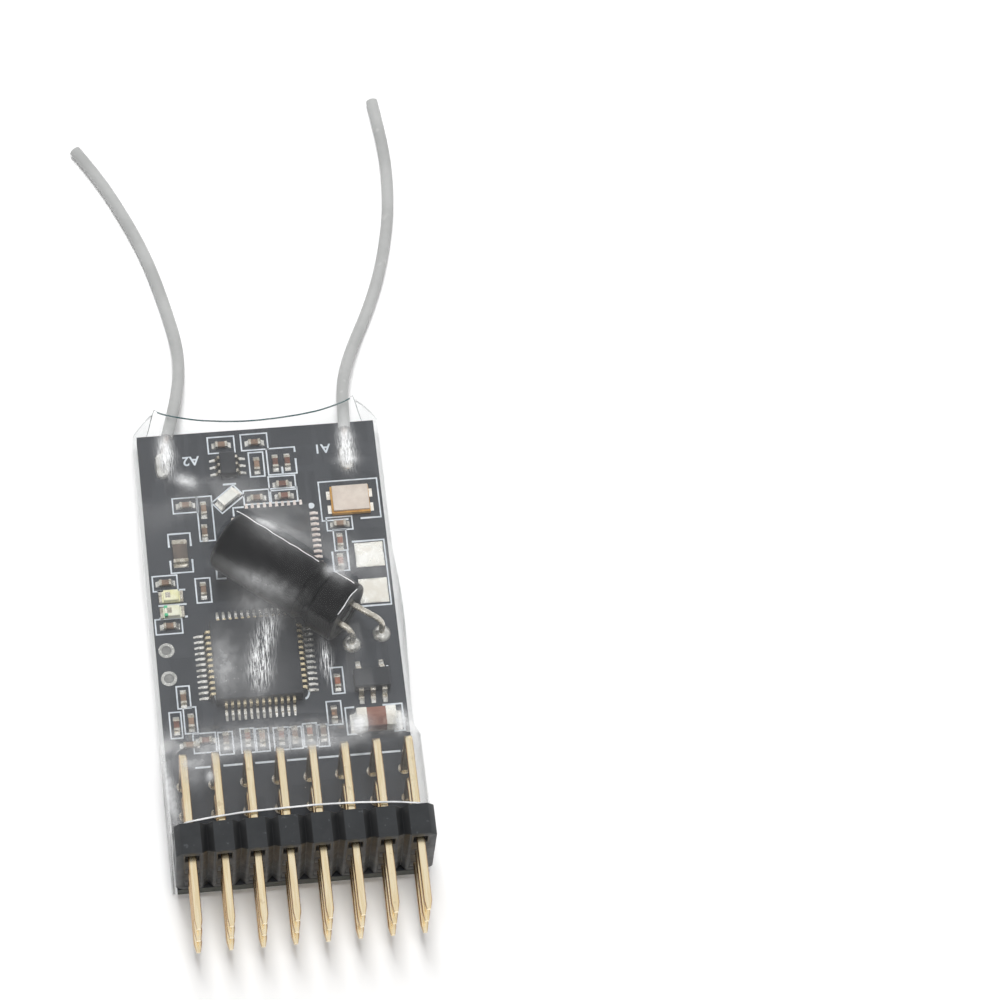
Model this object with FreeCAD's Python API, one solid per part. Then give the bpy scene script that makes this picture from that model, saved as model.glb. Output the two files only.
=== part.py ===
import FreeCAD
import Part
import math
import os

# A small radio-control receiver: a bare circuit board with a three-row right-angle pin header, two wire
# antennas and a reservoir capacitor laid across the chips, all inside a clear shrink sleeve.
# Millimetres. Lengths named here drive everything below. Places on the board are measured in board
# coordinates: x from the board's centreline, y from the header's front face, z from the board's top face.
# A part's place across is a share of half the board's width, and its place along a share of its length, so
# the layout spreads with the board. Parts that belong to a chip or to an edge are measured from that.
# The finished part has its origin under its middle, on the surface that the sleeve lies on.

# Header on the standard grid
PITCH = 2.54
COLUMNS = 8
ROWS = 3
HOUSING_DEPTH = 2.54
HOUSING_OFFSET = 0.15
NOTCH_WIDTH = 1.0
NOTCH_DEPTH = 0.5
GROOVE_WIDTH = 0.8
GROOVE_DEPTH = 0.3
PIN_WIDTH = 0.64
PIN_FIT = 0.01
PIN_REACH = 5.8
PIN_TAPER = 0.8
PIN_TIP_WIDTH = 0.28
PIN_BEND = 0.35
PIN_SETBACK = 1.1
PIN_TAIL = 1.0
RECESS_WIDTH = 1.1
RECESS_DEPTH = 0.35

# Board
BOARD_WIDTH = 19.76
BOARD_LENGTH = 40.33
BOARD_THICKNESS = 1.0
PIN_HOLE = 1.0
SOLDER_BASE = 0.75
SOLDER_TOP = 0.45
SOLDER_HEIGHT = 0.7
SOLDER_GAP = 0.01

# Shrink sleeve, a thin clear film
FILM = 0.12
FILM_GAP = 0.2
TAIL_GAP = 0.03
SLEEVE_SIDE_GAP = 0.31
SLEEVE_OVERHANG = 1.77
SLEEVE_FRONT_GAP = 0.15
SLEEVE_EDGE = 1.0
SLEEVE_SHOULDER = 0.75
SHOULDER_WIDTH = 0.45
SLEEVE_SIDE_HEIGHT = 0.5
MOUTH_DIP = 1.2
MOUTH_PINCH = 0.19
MOUTH_LIP = 0.1
FRONT_DIP = 0.75
RAMP_LENGTH = 3.4
HUMP_SLOPE = 0.95
HUMP_CROWN = 1.75
FILM_STEP = 1.5
FILM_SAG = 0.35
SAG_REACH = 5.2

# Square processor with gull-wing leads
MCU_SIZE = 7.0
MCU_HEIGHT = 1.4
MCU_STANDOFF = 0.1
MCU_PITCH = 0.5
MCU_LEADS = 12
MCU_LEAD_WIDTH = 0.22
MCU_LEAD_REACH = 1.0
MCU_ACROSS = -0.1953
MCU_ALONG = 0.4691

# Square radio chip with flat pads
RADIO_SIZE = 6.0
RADIO_HEIGHT = 0.85
RADIO_PITCH = 0.5
RADIO_PADS = 10
RADIO_PAD_WIDTH = 0.25
RADIO_PAD_REACH = 0.35
RADIO_GROUND_PAD = 3.6
PAD_HEIGHT = 0.05
RADIO_ACROSS = 0.0860
RADIO_ALONG = 0.7396
RADIO_ROW_GAP = 1.0
RADIO_ROW_STEP = 1.1

# Antenna switch with six leads
SWITCH_WIDTH = 1.3
SWITCH_LENGTH = 2.0
SWITCH_HEIGHT = 0.9
SWITCH_PITCH = 0.65
SWITCH_LEADS = 3
SWITCH_LEAD_WIDTH = 0.25
SWITCH_LEAD_REACH = 0.5
SWITCH_ACROSS = -0.2632
SWITCH_ALONG = 0.9157

# Voltage regulator with three leads in front and two behind
REGULATOR_WIDTH = 2.9
REGULATOR_DEPTH = 1.6
REGULATOR_HEIGHT = 1.1
REGULATOR_PITCH = 0.95
REGULATOR_LEAD_WIDTH = 0.4
REGULATOR_LEAD_REACH = 0.75
REGULATOR_ACROSS = 0.7318
REGULATOR_ALONG = 0.4091

# Leads of all the small packages: knee and heel as shares of a lead's reach
LEAD_THICKNESS = 0.13
LEAD_KNEE = 0.35
LEAD_HEEL = 0.5
BODY_CHAMFER = 0.1
DIMPLE_RADIUS = 0.35
DIMPLE_DEPTH = 0.06
DIMPLE_INSET = 0.8

# Crystal in a ceramic tray with a metal lid
CRYSTAL_LENGTH = 3.2
CRYSTAL_WIDTH = 2.5
CRYSTAL_TRAY_HEIGHT = 0.45
CRYSTAL_LID_HEIGHT = 0.3
CRYSTAL_LID_INSET = 0.2
CRYSTAL_ACROSS = 0.7267
CRYSTAL_ALONG = 0.8165
CRYSTAL_PAD_LENGTH = 0.7
CRYSTAL_PAD_WIDTH = 0.75
CRYSTAL_PAD_SPREAD = 3.1
CRYSTAL_PAD_SPACING = 1.3

# Electrolytic reservoir capacitor, lying across the board
CAN_DIAMETER = 5.0
CAN_LENGTH = 11.7
CAN_ROUND = 0.7
JACKET = 0.1
JACKET_LIP = 0.5
CAN_WALL = 0.25
BEAD_FROM_END = 2.9
BEAD_WIDTH = 1.4
BEAD_DEPTH = 0.45
BUNG_LENGTH = 1.2
BUNG_RECESS = 0.3
BUNG_GAP = 0.02
CAN_TURN = -39.7
CAN_END_ACROSS = 0.5536
CAN_END_ALONG = 0.5227
CAN_GAP = 0.05
LEAD_DIAMETER = 0.5
LEAD_SPACING = 2.0
LEAD_GAP = 0.01
LEAD_STRAIGHT = 1.1
LEAD_DROP = 0.65
LEAD_BOW = 0.35
LONG_LEAD_ACROSS = 0.8603
LONG_LEAD_ALONG = 0.5140
SHORT_LEAD_ACROSS = 0.6073
SHORT_LEAD_ALONG = 0.4954
LEAD_JOINT_RADIUS = 0.8
LEAD_JOINT_SINK = 0.25

# Chip parts: length, width, height and length of the plated ends
SMALL_CHIP = (1.0, 0.5, 0.4, 0.22)
LARGE_RESISTOR = (2.0, 1.25, 0.5, 0.35)
LARGE_CAPACITOR = (3.2, 1.7, 1.3, 0.6)
FILTER_CHIP = (1.7, 0.9, 0.6, 0.3)
PLATING = 0.03
LARGE_RESISTOR_ACROSS = -0.7277
LARGE_RESISTOR_ALONG = 0.7273
LARGE_CAPACITOR_ACROSS = 0.7318
LARGE_CAPACITOR_ALONG = 0.3211
FILTER_ASIDE = 0.68
FILTER_GAP = 1.15
FILTER_TURN = 38.0

# Indicator lamps: a printed base and a clear moulded top
LAMP_LENGTH = 2.0
LAMP_WIDTH = 1.0
LAMP_BASE_HEIGHT = 0.25
LAMP_LENS_HEIGHT = 0.4
LAMP_LENS_INSET = 0.35
LAMP_ACROSS = -0.8381
YELLOW_LAMP_ALONG = 0.6298
GREEN_LAMP_ALONG = 0.5951

# Tinned pads for the bind bridge, and plain ring pads
BRIDGE_PAD_LENGTH = 2.35
BRIDGE_PAD_WIDTH = 2.2
BRIDGE_PAD_HEIGHT = 0.3
BRIDGE_PAD_ROUND = 0.12
BRIDGE_PAD_SPACING = 3.3
BRIDGE_ACROSS = 0.8381
BRIDGE_ALONG = 0.6516
RING_PAD_OUTER = 1.3
RING_PAD_INNER = 0.8
RING_PAD_SPACING = 2.5
RING_PAD_ACROSS = -0.9140
RING_PAD_ALONG = 0.4513

# Antennas: coaxial leads with a grey jacket, soldered by their bared cores
CORD_DIAMETER = 1.0
CORE_DIAMETER = 0.4
JOINT_RADIUS = 0.6
JOINT_LENGTH = 2.4
CORE_ENTRY = 0.6
CORD_STEP = 0.6
CORD_SEAT_GAP = 0.03

# Routes of the antennas' centrelines, from the board out to the bare ends: x and y from the board's far
# corner on the antenna's own side, z from the surface that the part lies on
ANTENNA_LEFT = [
    (2.48, -0.43, 2.68), (2.90, 0.92, 2.66), (3.58, 3.47, 2.15), (4.05, 6.07, 1.38),
    (4.15, 9.12, 0.72), (3.64, 12.21, 0.53), (2.76, 16.22, 0.53), (1.81, 19.33, 0.53),
    (0.46, 22.73, 0.53), (-1.28, 26.43, 0.53), (-3.01, 29.19, 0.53),
]
ANTENNA_RIGHT = [
    (-2.52, -0.88, 2.68), (-2.44, 0.57, 2.66), (-2.32, 2.77, 2.18), (-1.82, 5.36, 1.38),
    (-0.66, 8.34, 0.72), (0.81, 11.31, 0.53), (2.22, 14.92, 0.53), (3.24, 18.83, 0.53),
    (3.74, 21.88, 0.53), (3.96, 25.45, 0.53), (3.81, 28.83, 0.53), (3.41, 32.28, 0.53),
]

# Worked out from the sizes above
HOUSING_LENGTH = COLUMNS * PITCH
HOUSING_HEIGHT = ROWS * PITCH
BOARD_HALF = BOARD_WIDTH / 2
UNDERSIDE = -(BOARD_THICKNESS + PIN_TAIL + TAIL_GAP + FILM)
SLEEVE_BACK = BOARD_LENGTH + SLEEVE_OVERHANG
SLEEVE_HALF = max(BOARD_HALF + SLEEVE_SIDE_GAP + FILM, HOUSING_LENGTH / 2 + HOUSING_OFFSET)
MIDDLE_Y = (SLEEVE_BACK - PIN_REACH) / 2
CAN_OUTER = CAN_DIAMETER / 2 + JACKET
MCU_TOP = MCU_STANDOFF + MCU_HEIGHT
PINS_TOP = (ROWS - 0.5) * PITCH + PIN_WIDTH / 2
PINS_BACK = HOUSING_DEPTH + PIN_SETBACK + (ROWS - 1) * PITCH + PIN_WIDTH / 2

# Small chips spread over the board: place across, place along, turn in degrees
CHIP_RESISTORS = [
    (0.1377, 0.9169, 90), (0.2389, 0.9169, 90), (0.6053, 0.7260, 90), (0.5901, 0.6801, 90),
    (0.4534, 0.4141, 90), (-0.8887, 0.3471, 90), (-0.6660, 0.3099, 0), (-0.3239, 0.3099, 90),
    (-0.0506, 0.3075, 90), (0.1822, 0.3099, 90),
]
CHIP_CAPACITORS = [
    (-0.2996, 0.9665, 0), (-0.0202, 0.9665, 0), (-0.0192, 0.9145, 90), (-0.6457, 0.8339, 0),
    (-0.4990, 0.8215, 90), (-0.5091, 0.7694, 90), (-0.8735, 0.6620, 0), (-0.8684, 0.5653, 0),
    (-0.5648, 0.6397, 90), (-0.8128, 0.4042, 90), (-0.7672, 0.3521, 90), (0.6204, 0.7657, 0),
    (0.3978, 0.3447, 90), (-0.7976, 0.3025, 0), (-0.5010, 0.3075, 90), (-0.2075, 0.3075, 90),
    (0.0607, 0.3075, 90), (0.2935, 0.3075, 90),
]

# Small chips in the rows behind the radio chip: shift across from its middle, number of the row
RADIO_RESISTORS = [(0.9, 1), (0.96, 0)]
RADIO_CAPACITORS = [(-1.33, 0)]


def spot(across, along):
    """Gives a place in board coordinates from its shares of the board's half width and length."""
    return across * BOARD_HALF, along * BOARD_LENGTH


def block(x, y, bottom, length, width, height, turn=0.0):
    """Makes a box centred on x and y, standing on a level, turned about its own upright axis."""
    shape = Part.makeBox(length, width, height, FreeCAD.Vector(-length / 2, -width / 2, 0))
    shape.rotate(FreeCAD.Vector(), FreeCAD.Vector(0, 0, 1), turn)
    shape.translate(FreeCAD.Vector(x, y, bottom))
    return shape


def top_edges(shape):
    """Lists the edges that lie in a shape's top face."""
    top = shape.BoundBox.ZMax
    boxes = [(edge, edge.BoundBox) for edge in shape.Edges]
    return [edge for edge, box in boxes if abs(box.ZMin - top) < 1e-6 and abs(box.ZMax - top) < 1e-6]


def square(width, centre, across, up):
    """Makes a square wire about a centre, with its sides along two directions."""
    along, above = across * (width / 2), up * (width / 2)
    corners = [centre - along - above, centre + along - above]
    corners += [centre + along + above, centre - along + above]
    return Part.makePolygon(corners + corners[:1])


def filleted_route(points):
    """Joins straight runs by tangent arcs, each as large as its two shorter runs allow."""
    spots = [FreeCAD.Vector(*p) for p in points]
    edges = []
    radii = []
    last = spots[0]
    for before, corner, after in zip(spots, spots[1:], spots[2:]):
        into = corner - before
        out = after - corner
        half_turn = into.getAngle(out) / 2
        setback = 0.45 * min(into.Length, out.Length)
        radii.append(setback / math.tan(half_turn))
        start = corner - into.normalize() * setback
        end = corner + out.normalize() * setback
        inward = ((start + end) * 0.5 - corner).normalize()
        middle = corner + inward * (radii[-1] * (1 / math.cos(half_turn) - 1))
        edges.append(Part.LineSegment(last, start).toShape())
        edges.append(Part.Arc(start, middle, end).toShape())
        last = end
    edges.append(Part.LineSegment(last, spots[-1]).toShape())
    return Part.Wire(edges), radii


def round_tube(points, diameter):
    """Sweeps a round section along a filleted route, and gives the solid, its length and its radii."""
    route, radii = filleted_route(points)
    direction = FreeCAD.Vector(*points[1]) - FreeCAD.Vector(*points[0])
    ring = Part.Wire(Part.makeCircle(diameter / 2, FreeCAD.Vector(*points[0]), direction))
    return route.makePipeShell([ring], True, False), route.Length, radii


def pin_columns():
    """Gives the x of each header column."""
    return [HOUSING_OFFSET + (column - (COLUMNS - 1) / 2) * PITCH for column in range(COLUMNS)]


def row_height(row):
    """Gives the height of a row's pins above the board, the lowest row first."""
    return (row + 0.5) * PITCH


def row_leg(row):
    """Gives the y at which a row's legs go down through the board."""
    return HOUSING_DEPTH + PIN_SETBACK + row * PITCH


def circuit_board():
    """The board, drilled for the header's legs."""
    board = block(0, BOARD_LENGTH / 2, -BOARD_THICKNESS, BOARD_WIDTH, BOARD_LENGTH, BOARD_THICKNESS)
    drills = [
        Part.makeCylinder(PIN_HOLE / 2, BOARD_THICKNESS, FreeCAD.Vector(x, row_leg(row), -BOARD_THICKNESS))
        for x in pin_columns() for row in range(ROWS)
    ]
    return board.cut(Part.makeCompound(drills))


def housing_outline():
    """The housing seen from the front: eight cells with notches between them, above and below."""
    left = HOUSING_OFFSET - HOUSING_LENGTH / 2
    top = []
    for cell in range(COLUMNS):
        start = left + cell * PITCH
        top.append((start, HOUSING_HEIGHT - NOTCH_DEPTH))
        top.append((start + NOTCH_WIDTH / 2, HOUSING_HEIGHT))
        top.append((start + PITCH - NOTCH_WIDTH / 2, HOUSING_HEIGHT))
    top.append((left + HOUSING_LENGTH, HOUSING_HEIGHT - NOTCH_DEPTH))
    bottom = [(x, HOUSING_HEIGHT - z) for x, z in reversed(top)]
    corners = [FreeCAD.Vector(x, 0, z) for x, z in top + bottom]
    return Part.Face(Part.makePolygon(corners + corners[:1]))


def front_groove(x):
    """An upright wedge that parts two cells on the housing's front face."""
    corners = [
        FreeCAD.Vector(x - GROOVE_WIDTH / 2, 0, 0), FreeCAD.Vector(x + GROOVE_WIDTH / 2, 0, 0),
        FreeCAD.Vector(x, GROOVE_DEPTH, 0), FreeCAD.Vector(x - GROOVE_WIDTH / 2, 0, 0),
    ]
    return Part.Face(Part.makePolygon(corners)).extrude(FreeCAD.Vector(0, 0, HOUSING_HEIGHT))


def header_housing():
    """The black housing, with a snug square hole and a front recess for each pin."""
    body = housing_outline().extrude(FreeCAD.Vector(0, HOUSING_DEPTH, 0))
    hole = PIN_WIDTH + 2 * PIN_FIT
    tools = []
    for x in pin_columns():
        for row in range(ROWS):
            middle = row_height(row)
            tools.append(block(x, HOUSING_DEPTH / 2, middle - hole / 2, hole, HOUSING_DEPTH, hole))
            recess_base = middle - RECESS_WIDTH / 2
            tools.append(block(x, RECESS_DEPTH / 2, recess_base, RECESS_WIDTH, RECESS_DEPTH, RECESS_WIDTH))
    for x in pin_columns()[1:]:
        tools.append(front_groove(x - PITCH / 2))
    return body.cut(Part.makeCompound(tools))


def header_pin(x, row):
    """A square pin with a tapered front tip, bent down behind the housing and through the board."""
    half = PIN_WIDTH / 2
    top = row_height(row) + half
    back = row_leg(row) + half
    tail = -(BOARD_THICKNESS + PIN_TAIL)
    outer = PIN_BEND + PIN_WIDTH
    diagonal = math.sqrt(0.5)
    neck = PIN_TAPER - PIN_REACH
    centre = FreeCAD.Vector(0, back - outer, top - outer)
    spots = [
        FreeCAD.Vector(0, neck, top), FreeCAD.Vector(0, back - outer, top),
        FreeCAD.Vector(0, back, top - outer), FreeCAD.Vector(0, back, tail),
        FreeCAD.Vector(0, back - PIN_WIDTH, tail), FreeCAD.Vector(0, back - PIN_WIDTH, top - outer),
        FreeCAD.Vector(0, back - outer, top - PIN_WIDTH), FreeCAD.Vector(0, neck, top - PIN_WIDTH),
    ]
    outer_middle = centre + FreeCAD.Vector(0, outer * diagonal, outer * diagonal)
    inner_middle = centre + FreeCAD.Vector(0, PIN_BEND * diagonal, PIN_BEND * diagonal)
    edges = [
        Part.LineSegment(spots[0], spots[1]).toShape(), Part.Arc(spots[1], outer_middle, spots[2]).toShape(),
        Part.LineSegment(spots[2], spots[3]).toShape(), Part.LineSegment(spots[3], spots[4]).toShape(),
        Part.LineSegment(spots[4], spots[5]).toShape(), Part.Arc(spots[5], inner_middle, spots[6]).toShape(),
        Part.LineSegment(spots[6], spots[7]).toShape(), Part.LineSegment(spots[7], spots[0]).toShape(),
    ]
    shank = Part.Face(Part.Wire(edges)).extrude(FreeCAD.Vector(PIN_WIDTH, 0, 0))
    shank.translate(FreeCAD.Vector(x - half, 0, 0))
    across, up = FreeCAD.Vector(1, 0, 0), FreeCAD.Vector(0, 0, 1)
    root = square(PIN_WIDTH, FreeCAD.Vector(x, neck, row_height(row)), across, up)
    tip = square(PIN_TIP_WIDTH, FreeCAD.Vector(x, -PIN_REACH, row_height(row)), across, up)
    return shank.fuse(Part.makeLoft([root, tip], True)).removeSplitter()


def header_solder():
    """A solder joint around each leg: it fills the drilled hole and rises as a cone below the board."""
    joints = []
    width = PIN_WIDTH + 2 * SOLDER_GAP
    tail = BOARD_THICKNESS + PIN_TAIL
    for x in pin_columns():
        for row in range(ROWS):
            middle = FreeCAD.Vector(x, row_leg(row), -BOARD_THICKNESS)
            barrel = Part.makeCylinder(PIN_HOLE / 2 - SOLDER_GAP, BOARD_THICKNESS, middle)
            cone = Part.makeCone(SOLDER_BASE, SOLDER_TOP, SOLDER_HEIGHT, middle, FreeCAD.Vector(0, 0, -1))
            leg = block(x, row_leg(row), -tail, width, width, tail)
            joints.append(barrel.fuse(cone).cut(leg))
    return Part.makeCompound(joints)


def gull_lead(x, y, turn, body_half, shoulder, reach, width):
    """A gull-wing lead that leaves a package side, turned about the package's middle."""
    knee = body_half + reach * LEAD_KNEE
    foot = body_half + reach
    heel = body_half + reach * LEAD_HEEL
    profile = [
        (body_half, shoulder + LEAD_THICKNESS), (knee, shoulder + LEAD_THICKNESS),
        (heel + LEAD_THICKNESS, LEAD_THICKNESS), (foot, LEAD_THICKNESS), (foot, 0), (heel, 0),
        (knee - LEAD_THICKNESS, shoulder), (body_half, shoulder),
    ]
    corners = [FreeCAD.Vector(out, -width / 2, z) for out, z in profile]
    lead = Part.Face(Part.makePolygon(corners + corners[:1])).extrude(FreeCAD.Vector(0, width, 0))
    lead.rotate(FreeCAD.Vector(), FreeCAD.Vector(0, 0, 1), turn)
    lead.translate(FreeCAD.Vector(x, y, 0))
    return lead


def lead_offset(distance, turn):
    """Gives the x and y shift of a lead along its package side."""
    angle = math.radians(turn + 90)
    return distance * math.cos(angle), distance * math.sin(angle)


def dimple(x, y, top):
    """The shallow round mark that is moulded into a package beside its first lead."""
    return Part.makeCylinder(DIMPLE_RADIUS, DIMPLE_DEPTH, FreeCAD.Vector(x, y, top - DIMPLE_DEPTH))


def mcu_body():
    """The processor's moulded body, chamfered on top, with a dimple at its first lead."""
    x, y = spot(MCU_ACROSS, MCU_ALONG)
    body = block(x, y, MCU_STANDOFF, MCU_SIZE, MCU_SIZE, MCU_HEIGHT)
    body = body.makeChamfer(BODY_CHAMFER, top_edges(body))
    inset = MCU_SIZE / 2 - DIMPLE_INSET
    return body.cut(dimple(x - inset, y - inset, MCU_TOP))


def mcu_leads():
    """Twelve leads on each of the processor's four sides."""
    x, y = spot(MCU_ACROSS, MCU_ALONG)
    leads = []
    half = MCU_SIZE / 2
    shoulder = MCU_STANDOFF + MCU_HEIGHT / 2
    for turn in (0, 90, 180, 270):
        for lead in range(MCU_LEADS):
            dx, dy = lead_offset((lead - (MCU_LEADS - 1) / 2) * MCU_PITCH, turn)
            leads.append(gull_lead(x + dx, y + dy, turn, half, shoulder, MCU_LEAD_REACH, MCU_LEAD_WIDTH))
    return Part.makeCompound(leads)


def radio_body():
    """The radio chip's flat body on its solder pads, with a dimple at its first pad."""
    x, y = spot(RADIO_ACROSS, RADIO_ALONG)
    body = block(x, y, PAD_HEIGHT, RADIO_SIZE, RADIO_SIZE, RADIO_HEIGHT)
    inset = RADIO_SIZE / 2 - DIMPLE_INSET
    return body.cut(dimple(x + inset, y + inset, PAD_HEIGHT + RADIO_HEIGHT))


def radio_pads():
    """Solder pads that reach out from under the radio chip on four sides, and the one under its middle."""
    x, y = spot(RADIO_ACROSS, RADIO_ALONG)
    pads = [block(x, y, 0, RADIO_GROUND_PAD, RADIO_GROUND_PAD, PAD_HEIGHT)]
    for turn in (0, 90, 180, 270):
        for pad in range(RADIO_PADS):
            dx, dy = lead_offset((pad - (RADIO_PADS - 1) / 2) * RADIO_PITCH, turn)
            shape = block(RADIO_SIZE / 2, 0, 0, 2 * RADIO_PAD_REACH, RADIO_PAD_WIDTH, PAD_HEIGHT)
            shape.rotate(FreeCAD.Vector(), FreeCAD.Vector(0, 0, 1), turn)
            shape.translate(FreeCAD.Vector(x + dx, y + dy, 0))
            pads.append(shape)
    return Part.makeCompound(pads)


def switch_body():
    """The antenna switch's small moulded body."""
    x, y = spot(SWITCH_ACROSS, SWITCH_ALONG)
    body = block(x, y, MCU_STANDOFF, SWITCH_WIDTH, SWITCH_LENGTH, SWITCH_HEIGHT)
    return body.makeChamfer(BODY_CHAMFER, top_edges(body))


def switch_leads():
    """Three leads on each long side of the antenna switch."""
    x, y = spot(SWITCH_ACROSS, SWITCH_ALONG)
    half = SWITCH_WIDTH / 2
    shoulder = MCU_STANDOFF + SWITCH_HEIGHT / 2
    leads = []
    for turn in (0, 180):
        for lead in range(SWITCH_LEADS):
            dx, dy = lead_offset((lead - (SWITCH_LEADS - 1) / 2) * SWITCH_PITCH, turn)
            leads.append(
                gull_lead(x + dx, y + dy, turn, half, shoulder, SWITCH_LEAD_REACH, SWITCH_LEAD_WIDTH)
            )
    return Part.makeCompound(leads)


def regulator_body():
    """The regulator's moulded body."""
    x, y = spot(REGULATOR_ACROSS, REGULATOR_ALONG)
    body = block(x, y, MCU_STANDOFF, REGULATOR_WIDTH, REGULATOR_DEPTH, REGULATOR_HEIGHT)
    return body.makeChamfer(BODY_CHAMFER, top_edges(body))


def regulator_leads():
    """Three leads in front of the regulator and two behind it."""
    x, y = spot(REGULATOR_ACROSS, REGULATOR_ALONG)
    shoulder = MCU_STANDOFF + REGULATOR_HEIGHT / 2
    leads = []
    for turn, steps in ((-90, (-1, 0, 1)), (90, (-1, 1))):
        for step in steps:
            leads.append(
                gull_lead(
                    x + step * REGULATOR_PITCH, y, turn, REGULATOR_DEPTH / 2, shoulder,
                    REGULATOR_LEAD_REACH, REGULATOR_LEAD_WIDTH,
                )
            )
    return Part.makeCompound(leads)


def crystal_tray():
    """The crystal's ceramic tray."""
    x, y = spot(CRYSTAL_ACROSS, CRYSTAL_ALONG)
    return block(x, y, PAD_HEIGHT, CRYSTAL_LENGTH, CRYSTAL_WIDTH, CRYSTAL_TRAY_HEIGHT)


def crystal_lid():
    """The metal lid on the tray, inset from its rim."""
    x, y = spot(CRYSTAL_ACROSS, CRYSTAL_ALONG)
    length = CRYSTAL_LENGTH - 2 * CRYSTAL_LID_INSET
    width = CRYSTAL_WIDTH - 2 * CRYSTAL_LID_INSET
    return block(x, y, PAD_HEIGHT + CRYSTAL_TRAY_HEIGHT, length, width, CRYSTAL_LID_HEIGHT)


def crystal_pads():
    """Four tinned pads that show beside the tray."""
    x, y = spot(CRYSTAL_ACROSS, CRYSTAL_ALONG)
    pads = []
    for across in (-CRYSTAL_PAD_SPREAD / 2, CRYSTAL_PAD_SPREAD / 2):
        for along in (-CRYSTAL_PAD_SPACING / 2, CRYSTAL_PAD_SPACING / 2):
            pads.append(block(x + across, y + along, 0, CRYSTAL_PAD_LENGTH, CRYSTAL_PAD_WIDTH, PAD_HEIGHT))
    return Part.makeCompound(pads)


def can_axis():
    """Gives the middle of the capacitor's lead end and its direction from there to the closed end.

    The can lies across the processor's far right corner and over the radio chip.
    """
    angle = math.radians(CAN_TURN)
    direction = FreeCAD.Vector(-math.cos(angle), -math.sin(angle), 0)
    end_x, end_y = spot(CAN_END_ACROSS, CAN_END_ALONG)
    mcu_x, mcu_y = spot(MCU_ACROSS, MCU_ALONG)
    corner_x, corner_y = mcu_x + MCU_SIZE / 2 - end_x, mcu_y + MCU_SIZE / 2 - end_y
    aside = min(CAN_OUTER, max(0.0, corner_y * direction.x - corner_x * direction.y))
    on_processor = MCU_TOP + math.sqrt(CAN_OUTER ** 2 - aside ** 2)
    on_radio = PAD_HEIGHT + RADIO_HEIGHT + CAN_OUTER
    return FreeCAD.Vector(end_x, end_y, max(on_processor, on_radio) + CAN_GAP), direction


def turned(profile):
    """Turns a profile of axial and radial points into a solid about the capacitor's axis."""
    end, direction = can_axis()
    corners = [FreeCAD.Vector(axial, radial, 0) for axial, radial in profile]
    half_section = Part.Face(Part.makePolygon(corners + corners[:1]))
    shape = half_section.revolve(FreeCAD.Vector(), FreeCAD.Vector(1, 0, 0), 360)
    heading = math.degrees(math.atan2(direction.y, direction.x))
    shape.rotate(FreeCAD.Vector(), FreeCAD.Vector(0, 0, 1), heading)
    shape.translate(end)
    return shape


def can_side(extra):
    """Gives the can's outline from the lead end to the closed end, moved outwards by a distance."""
    radius = CAN_DIAMETER / 2 + extra
    near, far = BEAD_FROM_END - BEAD_WIDTH / 2, BEAD_FROM_END + BEAD_WIDTH / 2
    waist = radius - BEAD_DEPTH
    bevel = BEAD_WIDTH * 0.25
    shoulder = CAN_ROUND * 0.3
    return [
        (0, radius), (near, radius), (near + bevel, waist), (far - bevel, waist), (far, radius),
        (CAN_LENGTH - CAN_ROUND, radius), (CAN_LENGTH - shoulder, radius - shoulder),
        (CAN_LENGTH + extra, radius - CAN_ROUND),
    ]


def capacitor_can():
    """The aluminium can, beaded near its open end, with room for the bung."""
    bore = CAN_DIAMETER / 2 - BEAD_DEPTH - CAN_WALL
    depth = BUNG_RECESS + BUNG_LENGTH
    return turned(can_side(0) + [(CAN_LENGTH, 0), (depth, 0), (depth, bore), (0, bore)])


def capacitor_jacket():
    """The printed jacket shrunk over the can, open in the middle of both ends."""
    lip = CAN_DIAMETER / 2 - CAN_ROUND - JACKET_LIP
    outside = can_side(JACKET)
    inside = can_side(0)
    return turned([(-JACKET, outside[0][1])] + outside[1:] + [(CAN_LENGTH + JACKET, lip), (CAN_LENGTH, lip)]
                  + inside[:0:-1] + [(0, inside[0][1]), (0, lip), (-JACKET, lip)])


def capacitor_bung():
    """The rubber bung in the can's open end, with a hole for each lead."""
    radius = CAN_DIAMETER / 2 - BEAD_DEPTH - CAN_WALL - BUNG_GAP
    inner = BUNG_RECESS + BUNG_LENGTH
    bung = turned([(BUNG_RECESS, 0), (BUNG_RECESS, radius), (inner, radius), (inner, 0)])
    _, direction = can_axis()
    hole = LEAD_DIAMETER / 2 + LEAD_GAP
    for side in (1, -1):
        bung = bung.cut(Part.makeCylinder(hole, BUNG_LENGTH, lead_start(side), direction))
    return bung


def lead_start(side):
    """Gives the place where a capacitor lead leaves the bung's outer face, 1 for the long lead."""
    end, direction = can_axis()
    across = FreeCAD.Vector(-direction.y, direction.x, 0)
    return end + direction * BUNG_RECESS - across * (side * LEAD_SPACING / 2)


def lead_feet():
    """Gives the places on the board where the long and the short lead are soldered."""
    return spot(LONG_LEAD_ACROSS, LONG_LEAD_ALONG), spot(SHORT_LEAD_ACROSS, SHORT_LEAD_ALONG)


def capacitor_lead(side, foot):
    """A capacitor lead, from inside the bung out and down to its joint on the board."""
    _, direction = can_axis()
    start = lead_start(side)
    bend = start - direction * LEAD_STRAIGHT
    base = FreeCAD.Vector(foot[0], foot[1], LEAD_DIAMETER / 2)
    knee = FreeCAD.Vector(base)
    if side < 0:
        knee = (bend + base) * 0.5 - direction * LEAD_BOW
    knee.z = start.z * LEAD_DROP
    inner = start + direction * (BUNG_LENGTH * 0.8)
    wire, _, _ = round_tube([tuple(v) for v in (inner, bend, knee, base)], LEAD_DIAMETER)
    return wire


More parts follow.
